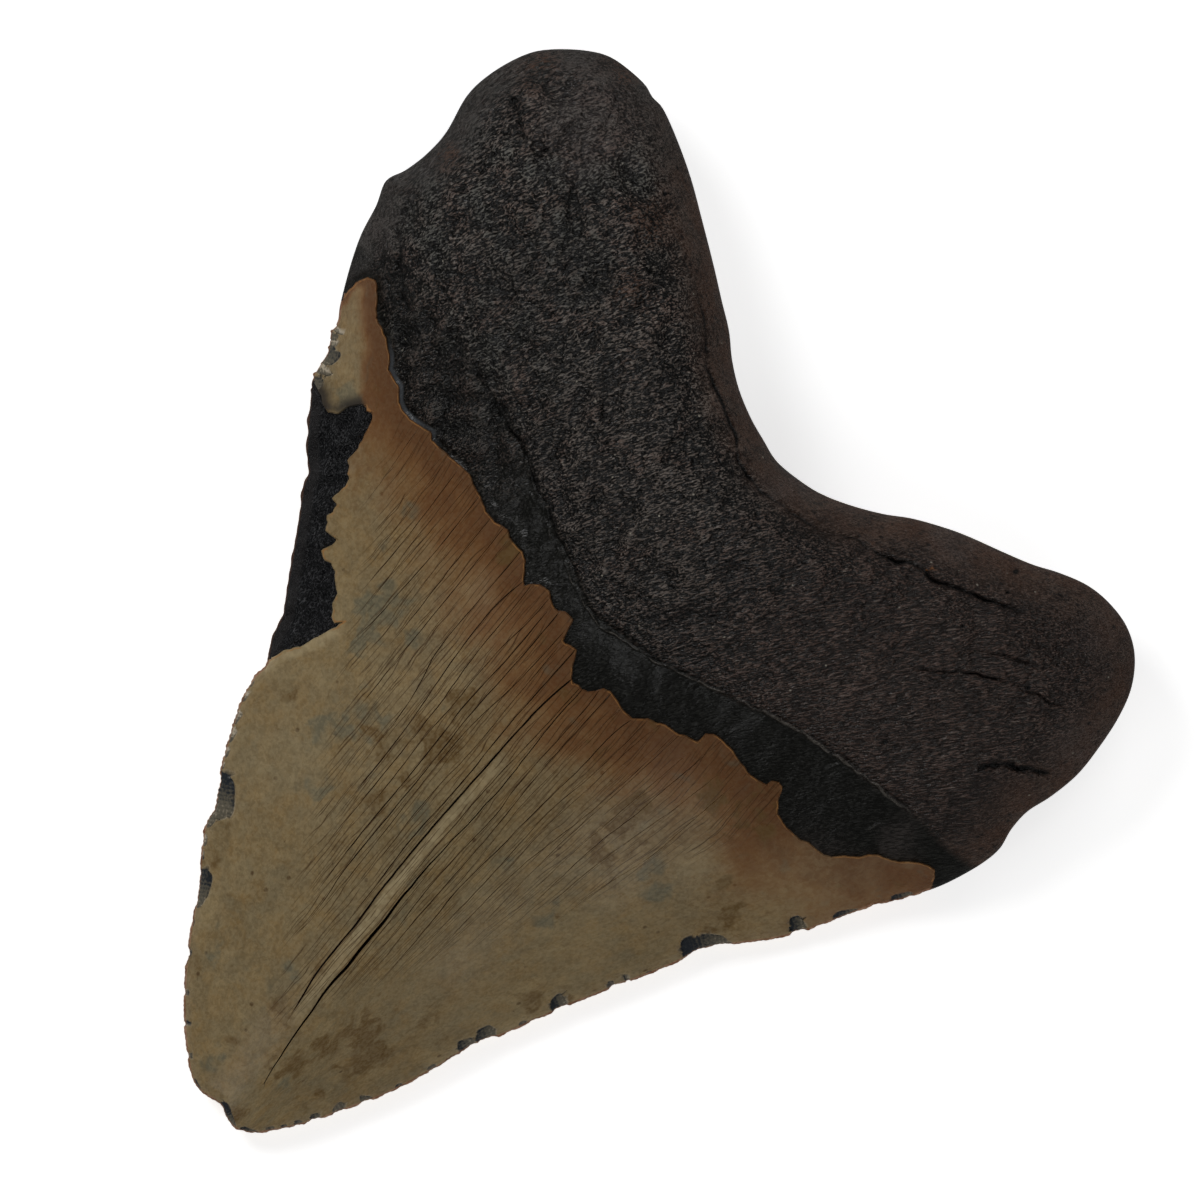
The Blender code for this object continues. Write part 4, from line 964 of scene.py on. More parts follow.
# %% Where the stains lie
# Centre, radius and strength of each.
BROWN_STAINS = [
    ((11.7, -51.7), 4.2, 1), ((13, -54.2), 2.4, 0.8), ((7.7, -55.6), 2.3, 0.8), ((-0.5, -56.3), 2.3, 0.8),
    ((5.2, -61), 3.6, 0.8), ((10.6, -57.6), 2.2, 0.6), ((0.8, -49), 1.6, 0.8), ((25.6, -33.2), 3, 0.45),
    ((5.2, -37), 0.9, 0.9), ((11, -60.4), 0.9, 0.8), ((9.6, -63.2), 0.8, 0.8), ((-2.8, -63.9), 1.7, 0.5),
    ((18.9, -6), 3.6, 1.1), ((18.9, -12.2), 3.2, 1), ((34.1, -4.9), 1.6, 0.8), ((31, 4), 5, 0.6),
    ((-7.5, -15), 4.2, 0.9), ((-13, -20), 4.5, 0.6), ((-9, -26), 3.5, 0.6), ((10, -3), 3, 0.5),
    ((3.6, -70.8), 2, 0.9), ((31.5, -12.4), 0.6, 0.9), ((20.3, -21.5), 0.6, 0.9), ((-15.6, 10.8), 3, 0.8),
    ((-22.7, -18.5), 0.7, 0.9), ((-7.2, -22), 1.5, 0.7), ((24, 3), 2.5, 0.6), ((37, -8), 4.5, 0.65),
    ((-8, -9), 3.5, 0.8), ((21.5, -8), 3, 0.55), ((16, -44), 3, 0.4), ((28.5, -30), 1.2, 0.7),
    ((-27, -24.5), 3, 0.45), ((-21, -47.5), 2, 0.45)]
GREY_STAINS = [
    ((-24, -3), 3.4, 1), ((-24.6, -8), 3.6, 1.1), ((-23.5, -11.5), 1.8, 0.9), ((27, -10), 2.6, 0.8),
    ((28.5, -12), 2.6, 0.8), ((-3.5, -25), 2.8, 0.8), ((-18, -20), 4.6, 0.8), ((-20.5, -24), 2.8, 0.8),
    ((-3, -51.5), 3, 0.45), ((-48, 11), 3.2, 0.6), ((-45.8, 13.2), 3, 0.6), ((18.5, -23), 3, 0.7),
    ((-16, -30), 3.4, 0.7), ((-30.5, 0.5), 2.2, 0.5), ((9, -22), 2.4, 0.6), ((6.5, -63.5), 1.6, 0.35),
    ((-19, -6), 2, 0.6), ((-12, -56), 3, 0.5), ((-30, 6), 2.2, 0.5), ((-2, -66.5), 2, 0.5)]
PALE_STAINS = [
    ((43, 2.5), 8, 0.3), ((30.5, -5), 4, 0.35), ((-16, 4), 3.5, 0.3), ((-33, 4), 3, 0.15),
    ((-22, -31), 8, 0.22), ((17, -40), 9, 0.12), ((26, -25), 7, 0.14), ((-45, 62), 8.5, 0.6),
    ((6, 42), 3.5, 0.5), ((28, 50.5), 5, 0.3), ((59, 40), 4.5, 0.4), ((-56.5, 33), 3.5, 0.4),
    ((48.5, 14.5), 3.5, 0.35), ((52, 53), 5, 0.25), ((48.5, 8.5), 3.5, 0.2)]
RUST_STAINS = [
    ((28.3, 44.6), 0.55, 1), ((20.3, 42.8), 0.5, 0.7), ((22.2, 43.3), 0.4, 0.7), ((-55, 63), 4, 0.4),
    ((-46, 70.5), 3.5, 0.4), ((-30, 57), 4, 0.35), ((-26, 48), 3, 0.3), ((-57, 46), 3, 0.35)]
PALE_STRIP = walk([(0.9, -10), (0.7, -25), (1, -38), (1.5, -47), (2, -57)], LINE_STEP)
PALE_HALF_WIDTH = 0.95


def clouds(points, stains):
    """How strongly each spot is stained, with soft and ragged edges."""
    strayed = waver(waver(points, 1.7, 4.0, 61.0), 0.6, 1.2, 67.0)
    amount = np.zeros(len(points))
    for centre, radius, strength in stains:
        place = oval_place(strayed, centre, radius, radius, 0)
        amount = np.maximum(amount, strength * smooth_step(place, 1.3, 0.2))
    return amount


def pale_band(points):
    """How much of the pale strip each spot is."""
    band = np.zeros(len(points))
    near = near_box(points, PALE_STRIP, PALE_HALF_WIDTH)
    distance, index = nearest_on(points[near], PALE_STRIP)
    ends = np.sin(np.pi * index / (len(PALE_STRIP) - 1)) ** 0.5
    band[near] = 0.9 * ends * smooth_step(distance, PALE_HALF_WIDTH, 0.5 * PALE_HALF_WIDTH)
    return band


# %% [markdown]
# ## One closed mesh
# The two sheets share the rim's points, so they are joined there without a seam. What the materials
# need to know about a spot rides along as attributes of the mesh, and a flat map of each side is kept
# as UVs, so that the finish can be baked sharply. The shading turns sharp at the ledges.

# %% Build the tooth
FACE_SMOOTH_ANGLE = np.radians(40)
ENAMEL_SLOT, ROOT_SLOT, DENTINE_SLOT = 0, 1, 2
ON_THE_LINE = 1e-4
fine_loop = np.vstack([fine_rim, fine_rim[:1]])
upper_on_rim, lower_on_rim = (nearest_on(points, fine_loop)[0] < ON_THE_LINE for points in (upper, lower))
upper_z, upper_masks = upper_surface(upper, upper_on_rim)
lower_z, lower_masks = lower_surface(lower, lower_on_rim)
shared = {(round(x, 3), round(y, 3)): i for i, (x, y) in enumerate(upper) if upper_on_rim[i]}
numbers = np.zeros(len(lower), dtype=int)
kept = []
for i, (x, y) in enumerate(lower):
    match = shared.get((round(x, 3), round(y, 3))) if lower_on_rim[i] else None
    if match is None:
        match = len(upper) + len(kept)
        kept.append(i)
    numbers[i] = match
flat = np.vstack([upper, lower[kept]])
heights = np.append(upper_z, lower_z[kept])
corners = np.column_stack([flat - MIDDLE, heights]) * METRES_PER_MM
faces = np.vstack([upper_faces, numbers[lower_faces][:, ::-1]])
tooth_mesh = bpy.data.meshes.new("fossil_tooth")
tooth_mesh.from_pydata(corners.tolist(), [], faces.tolist())
print("corners:", len(corners), "triangles:", len(faces))

# %% Attributes, material slots and UVs


def keep_values(name, values, kind="FLOAT"):
    """Store one value, or one vector, for each corner of the mesh."""
    attribute = tooth_mesh.attributes.new(name, kind, "POINT")
    field = "vector" if kind == "FLOAT_VECTOR" else "value"
    attribute.data.foreach_set(field, np.asarray(values, dtype=np.float32).ravel())


masks = {name: np.append(upper_masks[name], lower_masks[name][kept]) for name in upper_masks}
x, y = flat.T
# The ear, a tongue of enamel beside the left lobe, has its own pale half with ribs across it.
ACROSS_THE_EAR = (-0.766, -0.643)
ALONG_THE_EAR = (0.643, -0.766)
crosswise = flat @ ACROSS_THE_EAR + 0.5 * bumps(flat, 2.6, 2.6, 93.0)
ear = smooth_step(crosswise, 23.9, 26.5) * smooth_step(-x, 44.5, 46) * smooth_step(y, 9, 11)
ear *= smooth_step(masks["fall"], 0.1, 0.8)
ribs = np.clip(bumps(np.stack([crosswise, flat @ ALONG_THE_EAR], axis=1), 7.0, 0.8, 95.0), -0.3, 1)
# The enamel's margin along the lower end of the bare patch is bevelled, and pale too.
bevel = 0.7 * smooth_step(-masks["cover"], -1.3, -0.9) * (x < -26) * smooth_step(-y, 10, 13)
# The further a spot lies below the ledge the less orange it is, and the ear counts as far below.
masks["fall"] = masks["fall"] + 11 * ear
for name in ("cover", "bone", "crack", "chip", "rim", "fall", "stone_and_shade", "knob", "hollow", "coarse"):
    keep_values(name, masks[name])
below = np.arange(len(flat)) >= len(upper)
for name, stains in (("brown", BROWN_STAINS), ("rust", RUST_STAINS), ("grey", GREY_STAINS)):
    keep_values(name, clouds(flat, stains) * ~below)
pale = np.max([pale_band(flat), (0.06 + 0.4 * ribs) * ear, bevel, clouds(flat, PALE_STAINS)], axis=0)
keep_values("pale", pale * ~below)
# The bone is grey at the far left, half brown in the middle and brown on the right.
keep_values("warm", 0.5 * smooth_step(x, -52, -18) + 0.5 * smooth_step(x, -2, 32))
keep_values("lumpy", 0.8 * smooth_step(-x, 17, 31) * smooth_step(-masks["cover"], 0.2, 1.4))
# Near both edges of the crown, and below, the skin is fresh: no hairlines run there.
keep_values("fresh", np.where(below, 1, smooth_step(np.abs(x) - 33 - 0.54 * y, -4, 1)))
keep_values("grain", np.column_stack([fan(flat), heights]), "FLOAT_VECTOR")

# %% Material slots and the flat map

face_cover = masks["cover"][faces].mean(axis=1)
face_bare = masks["bare"][faces].mean(axis=1)
face_slot = np.where(face_cover > -0.95 * ENAMEL_LIP_RUN, ENAMEL_SLOT, ROOT_SLOT)
face_slot = np.where((face_slot == ROOT_SLOT) & (face_bare > 0), DENTINE_SLOT, face_slot)
tooth_mesh.polygons.foreach_set("material_index", face_slot.astype(np.int32))

MAP_SCALE = 0.0057
MAP_MARGIN = 0.01
LOWER_MAP_SHARE = 0.4
LOWER_MAP_START = 0.715
map_place = (flat - flat.min(axis=0)) * MAP_SCALE + MAP_MARGIN
lower_place = (flat - flat.min(axis=0)) * MAP_SCALE * LOWER_MAP_SHARE + (LOWER_MAP_START, MAP_MARGIN)
loops = faces.ravel()
is_lower = np.repeat(np.arange(len(faces)) >= len(upper_faces), 3)
uv = np.where(is_lower[:, None], lower_place[loops], map_place[loops])
tooth_mesh.uv_layers.new(name="OFBake").data.foreach_set("uv", uv.astype(np.float32).ravel())

tooth_mesh.shade_smooth()
tooth_mesh.set_sharp_from_angle(angle=FACE_SMOOTH_ANGLE)
tooth = bpy.data.objects.new("fossil_tooth", tooth_mesh)
bpy.context.collection.objects.link(tooth)
problems = tooth_mesh.validate()
print("mesh repaired:", problems, "box:", [round(v * 1000, 1) for v in tooth.dimensions])

# %% [markdown]
# ## Effects that several finishes share
# Grain, cloudy staining and small pits show up on enamel, root and dentine alike, each at its own
# scale. A node group is built once for each effect and placed in every material with its own values.
# The helpers below add nodes to the tree in hand, which is the last group or material begun.

# %% Node helpers


def new_group(name, result, **inputs):
    """Begin a shader node group from grain coordinates and numbers to one result; returns it, its ends."""
    global tree
    tree = bpy.data.node_groups.new(name, "ShaderNodeTree")
    tree.interface.new_socket("Grain", in_out="INPUT", socket_type="NodeSocketVector")
    for socket, value in inputs.items():
        made = tree.interface.new_socket(socket.title(), in_out="INPUT", socket_type="NodeSocketFloat")
        made.default_value = value
    tree.interface.new_socket(result, in_out="OUTPUT", socket_type="NodeSocketFloat")
    return tree, tree.nodes.new("NodeGroupInput").outputs, tree.nodes.new("NodeGroupOutput").inputs[0]


def new_material(name):
    """Begin a material; returns it, its empty Principled shader and the mesh's grain coordinates."""
    global tree
    material = bpy.data.materials.new(name)
    material.use_nodes = True
    tree = material.node_tree
    grain = put("ShaderNodeAttribute", attribute_name="grain").outputs["Vector"]
    return material, tree.nodes["Principled BSDF"], grain


def put(kind, inputs=(), **settings):
    """Add a node, set its properties, and fill or link its inputs by name or number."""
    node = tree.nodes.new(kind)
    for name, value in settings.items():
        setattr(node, name, value)
    for name, value in dict(inputs).items():
        if isinstance(value, bpy.types.NodeSocket):
            tree.links.new(value, node.inputs[name])
        else:
            node.inputs[name].default_value = value
    return node


def put_group(group, grain, **values):
    """Place a node group, with its grain coordinates linked and its values set by name."""
    named = {name.title(): value for name, value in values.items()}
    return put("ShaderNodeGroup", {"Grain": grain, **named}, node_tree=group).outputs[0]


def maths(operation, a, b=0.0):
    """One Math node; returns its result. The four after it are for the commonest sums."""
    return put("ShaderNodeMath", {0: a, 1: b}, operation=operation).outputs[0]


def plus(a, b):
    return maths("ADD", a, b)


def minus(a, b):
    return maths("SUBTRACT", a, b)


def times(a, b):
    return maths("MULTIPLY", a, b)


def larger(a, b):
    return maths("MAXIMUM", a, b)


def blend(share, under, over):
    """Mix two colours; share 0 shows the first and 1 the second."""
    return put("ShaderNodeMix", {0: share, 6: under, 7: over}, data_type="RGBA").outputs[2]


def ease(value, low, high, out_low=0.0, out_high=1.0):
    """Map a value smoothly from one range to another."""
    ends = {0: value, 1: low, 2: high, 3: out_low, 4: out_high}
    return put("ShaderNodeMapRange", ends, interpolation_type="SMOOTHSTEP").outputs[0]


def mask(name):
    """Read one of the mesh's own attributes."""
    return put("ShaderNodeAttribute", attribute_name=name).outputs["Fac"]


def colour(red, green, blue):
    """A colour with full alpha."""
    return (red, green, blue, 1.0)


# %% The grain group
# Fibres: noise stretched along the tooth, in the mesh's own grain coordinates (millimetres).
grain_group, given, result = new_group("Fibre Grain", "Height", width=0.5, length=2.0, seed=0.0)
across = maths("DIVIDE", 1.0, given["Width"])
lengthwise = maths("DIVIDE", 1.0, given["Length"])
scale = put("ShaderNodeCombineXYZ", {0: across, 1: lengthwise, 2: across}).outputs[0]
stretched = put("ShaderNodeVectorMath", {0: given["Grain"], 1: scale}, operation="MULTIPLY").outputs[0]
fibres = put("ShaderNodeTexNoise", {"Vector": stretched, "W": given["Seed"], "Scale": 1.0, "Detail": 1.0,
                                    "Roughness": 0.45, "Distortion": 0.4}, noise_dimensions="4D")
tree.links.new(fibres.outputs[0], result)

# %% The cloud group
# Staining: broad noise broken up by finer noise, as a mask with a soft or a hard edge.


def counted_in(size):
    """The grain coordinates of the group in hand, counted in steps of the given size."""
    shrink = maths("DIVIDE", 1.0, size)
    return put("ShaderNodeVectorMath", {0: given["Grain"], "Scale": shrink}, operation="SCALE").outputs[0]


cloud_group, given, result = new_group("Mineral Clouds", "Mask", size=8.0, softness=0.2, detail=5.0, seed=0.0)
broad = put("ShaderNodeTexNoise", {"Vector": counted_in(given["Size"]), "W": given["Seed"], "Scale": 1.0,
                                   "Detail": given["Detail"], "Roughness": 0.6, "Distortion": 0.6},
            noise_dimensions="4D")
low = minus(0.5, given["Softness"])
high = plus(0.5, given["Softness"])
tree.links.new(ease(broad.outputs[0], low, high), result)

# %% The pore group
# Pores: small round holes, present only in some of the cells.
pore_group, given, result = new_group("Pores", "Mask", spacing=1.0, share=0.4)
cells = put("ShaderNodeTexVoronoi", {"Vector": counted_in(given["Spacing"]), "Scale": 1.0})
present = put("ShaderNodeTexWhiteNoise", {"Vector": cells.outputs["Position"]})
chosen = maths("LESS_THAN", present.outputs["Value"], given["Share"])
tree.links.new(times(ease(cells.outputs["Distance"], 0.34, 0.1), chosen), result)

# %% The fine line group
# Hairlines and wrinkles: the width is cut into lanes, and each lane holds one thin line at its own
# place, wavering a little and fading in and out along its length.
line_group, given, result = new_group(
    "Fine Lines", "Mask", spacing=0.6, length=30.0, thickness=0.05, seed=0.0)
axes = put("ShaderNodeSeparateXYZ", {0: given["Grain"]}).outputs
lengthwise = maths("DIVIDE", axes[1], given["Length"])


def noise_at(across, along):
    """Soft noise for a place across the lanes and along them."""
    place = put("ShaderNodeCombineXYZ", {0: across, 1: along, 2: given["Seed"]}).outputs[0]
    return put("ShaderNodeTexNoise", {"Vector": place, "Scale": 1.0, "Detail": 2.0}).outputs[0]


bend = noise_at(times(axes[0], 0.35), times(lengthwise, 2.5))
lanes = plus(maths("DIVIDE", axes[0], given["Spacing"]), times(bend, 2.4))
lane = maths("FLOOR", lanes)
lane_place = put("ShaderNodeCombineXYZ", {0: lane, 1: given["Seed"]}).outputs[0]
chosen = put("ShaderNodeTexWhiteNoise", {"Vector": lane_place}, noise_dimensions="3D").outputs["Value"]
centre = plus(0.2, times(chosen, 0.6))
offset = minus(minus(lanes, lane), centre)
offset = times(maths("ABSOLUTE", offset), given["Spacing"])
line = ease(offset, given["Thickness"], 0.0)
presence = noise_at(times(lane, 7.31), times(lengthwise, 3.0))
tree.links.new(times(line, ease(presence, 0.44, 0.58)), result)
print("node groups:", [group.name for group in (grain_group, cloud_group, pore_group, line_group)])

# %% What every finish ends with


def finish(shader, surface, relief, strength, depth):
    """Give a shader its colour and its fine relief, which is a bump of the given depth in metres."""
    tree.links.new(surface, shader.inputs["Base Color"])
    bump = put("ShaderNodeBump", {"Height": relief, "Strength": strength, "Distance": depth})
    tree.links.new(bump.outputs[0], shader.inputs["Normal"])
    print("nodes in this material:", len(tree.nodes))


# %% [markdown]
# ## Enamel
# Fossil enamel is a hard satin skin: tan towards the tip, browner and warmer near its upper edge,
# mottled by minerals, with dark cracks and bluish scars where flakes came off.

# %% Enamel
enamel, shader, grain = new_material("fossil_enamel")
TAN = colour(0.245, 0.180, 0.091)
PALE_TAN = colour(0.320, 0.237, 0.119)
UMBER = colour(0.115, 0.073, 0.027)
RUSSET = colour(0.114, 0.050, 0.021)
GREY_GREEN = colour(0.118, 0.116, 0.080)
CREAM = colour(0.445, 0.356, 0.205)
RIM_ORANGE = colour(0.375, 0.175, 0.055)
CRACK_BROWN = colour(0.055, 0.025, 0.0088)
CRACK_BLACK = colour(0.005, 0.004, 0.003)
SCAR_BLUE = colour(0.021, 0.025, 0.030)
SCAR_GREY = colour(0.125, 0.110, 0.080)
OCHRE = colour(0.237, 0.140, 0.045)
ORANGE_TAN = colour(0.196, 0.086, 0.030)
SHADED_BROWN = colour(0.035, 0.030, 0.025)
MOTTLE_BROWN = colour(0.070, 0.050, 0.026)
STAIN_BROWN = colour(0.122, 0.070, 0.023)
FLECK_BROWN = colour(0.060, 0.028, 0.010)
EDGE_RUST = colour(0.190, 0.070, 0.028)
EDGE_PINK = colour(0.380, 0.215, 0.130)
SCAR_WHITE = colour(0.450, 0.385, 0.285)

# %% Enamel: clouds of mineral colour
# Broad clouds come first, then finer and finer mottling over them.
broad_clouds = put_group(cloud_group, grain, size=14.0, softness=0.14, detail=4.0, seed=1.0)
small_clouds = put_group(cloud_group, grain, size=2.6, softness=0.15, detail=3.0, seed=5.0)
speckle = put_group(cloud_group, grain, size=0.55, softness=0.09, detail=1.0, seed=9.0)
streaks = put_group(grain_group, grain, width=0.5, length=9.0, seed=2.0)
skin = blend(broad_clouds, TAN, PALE_TAN)
skin = blend(times(small_clouds, 0.28), skin, UMBER)
streak_share = times(ease(streaks, 0.5, 0.75), 0.15)
skin = blend(streak_share, skin, UMBER)
MINERAL_LAYERS = [
    (4.2, 0.11, 21.0, 0.5, OCHRE), (3.4, 0.1, 51.0, 0.3, GREY_GREEN), (5.0, 0.1, 61.0, 0.3, PALE_TAN)]
for size, softness, seed, share, tint in MINERAL_LAYERS:
    layer = put_group(cloud_group, grain, size=size, softness=softness, detail=3.5, seed=seed)
    skin = blend(times(layer, share), skin, tint)
mottle = put_group(cloud_group, grain, size=1.1, softness=0.11, detail=2.0, seed=31.0)
skin = blend(times(mottle, 0.16), skin, UMBER)
fine_mottle = put_group(cloud_group, grain, size=0.5, softness=0.09, detail=1.0, seed=35.0)
skin = blend(times(fine_mottle, 0.16), skin, MOTTLE_BROWN)

# %% Enamel: warmer towards the ledge
# The nearer the ledge, the more the skin turns orange and then russet, with a streaky edge.
soft_clouds = put_group(cloud_group, grain, size=7.0, softness=0.3, detail=2.0, seed=71.0)
flecks = put_group(pore_group, grain, spacing=1.5, share=0.05)
skin = blend(ease(flecks, 0.2, 1.0, 0.0, 0.7), skin, FLECK_BROWN)
skin = blend(ease(mask("fall"), 27.0, 6.0, 0.0, 0.18), skin, ORANGE_TAN)
wavy = plus(mask("fall"), times(streaks, -3.5))
wavy = plus(wavy, times(soft_clouds, -6.0))
skin = blend(ease(wavy, 9.5, -2.0, 0.0, 0.92), skin, ORANGE_TAN)
skin = blend(ease(wavy, 3.6, -4.5, 0.0, 0.82), skin, RUSSET)

# %% Enamel: stains and hairlines
# The stains' attributes say where, and patchy clouds break their edges up.
patchy = put_group(cloud_group, grain, size=3.6, softness=0.32, detail=2.2, seed=41.0)
uneven = times(minus(patchy, 0.5), 1.3)
brown_share = ease(plus(mask("brown"), uneven), 0.3, 0.75, 0.0, 0.8)
skin = blend(brown_share, skin, STAIN_BROWN)
grey_share = ease(minus(mask("grey"), uneven), 0.3, 0.85, 0.0, 0.7)
skin = blend(grey_share, skin, GREY_GREEN)
pale_share = times(mask("pale"), ease(mottle, -0.5, 1.0, 1.0, 0.5))
skin = blend(pale_share, skin, CREAM)
skin = blend(times(speckle, ease(wavy, 0.0, 9.0, 0.05, 0.16)), skin, CREAM)
hairlines = put_group(line_group, grain, spacing=0.55, length=30.0, thickness=0.075)
more_hairlines = put_group(line_group, grain, spacing=0.8, length=22.0, thickness=0.09, seed=5.0)
hairlines = larger(hairlines, more_hairlines)
cracked = times(hairlines, ease(mask("fresh"), 0.0, 1.0, 0.95, 0.0))
skin = blend(cracked, skin, CRACK_BROWN)

# %% Enamel: its lip, its cracks and its scars
# The ledge's lip is painted a bright orange, as a glow of light through its thin edge. Cracks go over it,
# then fresh scars over all.
cover = mask("cover")
lip = times(ease(cover, 0.16, 0.06), ease(cover, -0.1, 0.0))
lip = times(lip, ease(small_clouds, 0.2, 0.9))
lip = times(lip, ease(mask("grey"), 0.1, 0.4, 0.7, 0.0))
skin = blend(lip, skin, RIM_ORANGE)
shaded = times(ease(mask("grey"), 0.1, 0.5), ease(cover, 1.9, 0.1, 0.0, 0.92))
shaded = times(shaded, ease(mask("warm"), 0.12, 0.07))
skin = blend(shaded, skin, SHADED_BROWN)
crack = mask("crack")
skin = blend(ease(crack, 0.1, 0.7), skin, CRACK_BROWN)
skin = blend(ease(crack, 0.45, 0.9), skin, CRACK_BLACK)
# The scars' tone runs from white through grey to blue-black and carries their painted light and shade; the
# whitest parts are painted glints.
scar_streaks = put_group(grain_group, grain, width=0.3, length=0.4, seed=4.0)
stone = plus(mask("stone_and_shade"), ease(scar_streaks, 0.3, 0.7, -0.12, 0.12))
scar = blend(ease(stone, 0.05, 0.45), SCAR_WHITE, SCAR_GREY)
scar = blend(ease(stone, 0.45, 0.9), scar, SCAR_BLUE)
skin = blend(mask("chip"), skin, scar)
rust = times(ease(mask("rim"), 0.42, 0.16), ease(small_clouds, -0.6, 0.4))
skin = blend(rust, skin, blend(mottle, EDGE_RUST, EDGE_PINK))

# %% Enamel: gloss and relief
tree.links.new(plus(times(small_clouds, 0.08), 0.24), shader.inputs["Roughness"])
shader.inputs["IOR"].default_value = 1.5
shader.inputs["Specular IOR Level"].default_value = 0.2
finish(shader, skin, times(streaks, 0.6), 0.35, 0.0001)

# %% [markdown]
# ## Root
# The root is spongy bone, leathery and almost black, with a brown bloom on its lobes. Its collar,
# below the fine ridge, is smooth and darker, so one material holds both and a mask fades between.

# %% Root and collar
root_material, shader, grain = new_material("fossil_root")
WRINKLE_SLANT = 31
BONE_DARK = colour(0.0042, 0.0040, 0.0038)
GREY_CREST = colour(0.158, 0.152, 0.135)
BROWN_CREST = colour(0.170, 0.108, 0.086)
GLINT = colour(0.260, 0.240, 0.210)
RIDGE_HIGHLIGHT = colour(0.120, 0.108, 0.094)
LEDGE_HALO = colour(0.060, 0.066, 0.072)
BONE_GREY = colour(0.066, 0.060, 0.055)
BONE_BROWN = colour(0.093, 0.062, 0.047)
BONE_RUST = colour(0.085, 0.036, 0.018)
RUST_SPOT = colour(0.260, 0.110, 0.040)
COLLAR = colour(0.0050, 0.0050, 0.0040)
COLLAR_GREY = colour(0.034, 0.034, 0.030)
BLOOM = colour(0.105, 0.084, 0.077)
GLINT_SPECK = colour(0.350, 0.320, 0.260)

# %% Root: the grain of its bone
# The wrinkles of the bone cross the tooth slantwise, so the root turns its grain coordinates.
grain = put("ShaderNodeVectorRotate", {"Vector": grain, "Angle": np.radians(WRINKLE_SLANT)},
            rotation_type="Z_AXIS").outputs[0]
fibre = put_group(grain_group, grain, width=0.5, length=1.3, seed=3.0)
fine_fibre = put_group(grain_group, grain, width=0.3, length=0.65, seed=8.0)
long_ripple = put_group(grain_group, grain, width=0.17, length=1.2, seed=17.0)
short_ripple = put_group(grain_group, grain, width=0.22, length=0.7, seed=19.0)
roughest = ease(mask("coarse"), 0.6, 1.0)
ripple = plus(times(short_ripple, roughest), times(long_ripple, minus(1.0, roughest)))
bone_clouds = put_group(cloud_group, grain, size=16.0, softness=0.16, detail=4.0, seed=12.0)
patches = put_group(cloud_group, grain, size=4.5, softness=0.14, detail=3.0, seed=14.0)
rust_clouds = put_group(cloud_group, grain, size=5.0, softness=0.14, detail=3.0, seed=27.0)
pores = put_group(pore_group, grain, spacing=1.3, share=0.3)
height = plus(times(ripple, 0.6), times(fibre, 0.25))
height = plus(height, times(fine_fibre, 0.15))
height = plus(height, times(mask("knob"), 0.10))

# %% Root: pale crests over black hollows, as painted light and shade
# Rough bone is painted with crisp pale crests over black hollows: its own tone, together with painted light
# on the crests and painted shade in the hollows. Smooth bone shows their average.
contrast = ease(mask("coarse"), 0.15, 0.9, 0.5, 1.0)
wrinkles = put_group(line_group, grain, spacing=0.42, length=3.4, thickness=0.15, seed=9.0)
cross_wrinkles = put_group(line_group, grain, spacing=0.37, length=2.3, thickness=0.13, seed=14.0)
wrinkles = times(larger(wrinkles, cross_wrinkles), ease(height, 0.43, 0.55))
crests = larger(wrinkles, ease(height, 0.56, 0.605, 0.0, 0.9))
crests = times(crests, contrast)
crests = plus(crests, times(minus(1.0, contrast), 0.19))
warmth = larger(ease(mask("warm"), 0.15, 0.95), times(patches, 0.75))
bone = blend(crests, BONE_DARK, blend(warmth, GREY_CREST, BROWN_CREST))
# Painted glints: bright specks on the highest ripples stand for highlights.
glints = times(ease(ripple, 0.62, 0.74), ease(patches, 0.0, 1.0, 0.3, 0.8))
bone = blend(times(glints, contrast), bone, GLINT)
bone = blend(times(bone_clouds, 0.25), bone, BONE_DARK)

# %% Root: grey and rusty towards the rim
near_rim = ease(mask("rim"), 7.0, 0.5)
brown_share = times(near_rim, ease(height, 0.47, 0.55, 0.12, 0.95))
rim_warmth = ease(mask("warm"), 0.0, 0.5)
bone = blend(brown_share, bone, blend(rim_warmth, BONE_GREY, BONE_BROWN))
rust_share = times(times(near_rim, rust_clouds), ease(rim_warmth, 0.0, 1.0, 0.0, 0.45))
bone = blend(rust_share, bone, BONE_RUST)
bone = blend(times(pores, 0.8), bone, BONE_DARK)
# Sparse white specks over the bone are painted glints.
glint_specks = put_group(pore_group, grain, spacing=0.75, share=0.012)
bone = blend(ease(glint_specks, 0.45, 0.95, 0.0, 0.8), bone, GLINT_SPECK)
rusty = times(ease(mask("rust"), 0.0, 0.5, 0.0, 0.8), ease(height, 0.48, 0.58, 0.0, 1.0))
bone = blend(rusty, bone, BONE_RUST)
bone = blend(ease(mask("rust"), 0.45, 0.9), bone, RUST_SPOT)

# %% Root: the collar, its shaded end and the fine ridge
bone_share = mask("bone")
uncovered = larger(bone_share, mask("lumpy"))
collar = blend(ease(ripple, 0.50, 0.62, 0.0, 0.5), COLLAR, COLLAR_GREY)
surface = blend(uncovered, collar, bone)
in_shade = times(mask("lumpy"), ease(bone_share, 1.0, 0.0, 0.0, 0.4))
surface = blend(in_shade, surface, BONE_DARK)
# Painted shade: furrows and pits are darkened by their depth.
surface = blend(ease(mask("hollow"), 0.0, 0.9), surface, BONE_DARK)
bloom = times(mask("pale"), ease(height, 0.44, 0.56, 0.25, 0.9))
surface = blend(bloom, surface, BLOOM)
# Painted highlight: the tops of the ridges are lightened to grey.
ridge = times(ease(mask("hollow"), -0.18, -0.42), ease(height, 0.40, 0.56, 0.1, 0.85))
surface = blend(ridge, surface, RIDGE_HIGHLIGHT)
beside = times(ease(mask("warm"), 0.02, 0.06), ease(mask("warm"), 0.32, 0.22))
halo = times(ease(mask("cover"), -0.9, -0.5), beside)
surface = blend(halo, surface, LEDGE_HALO)

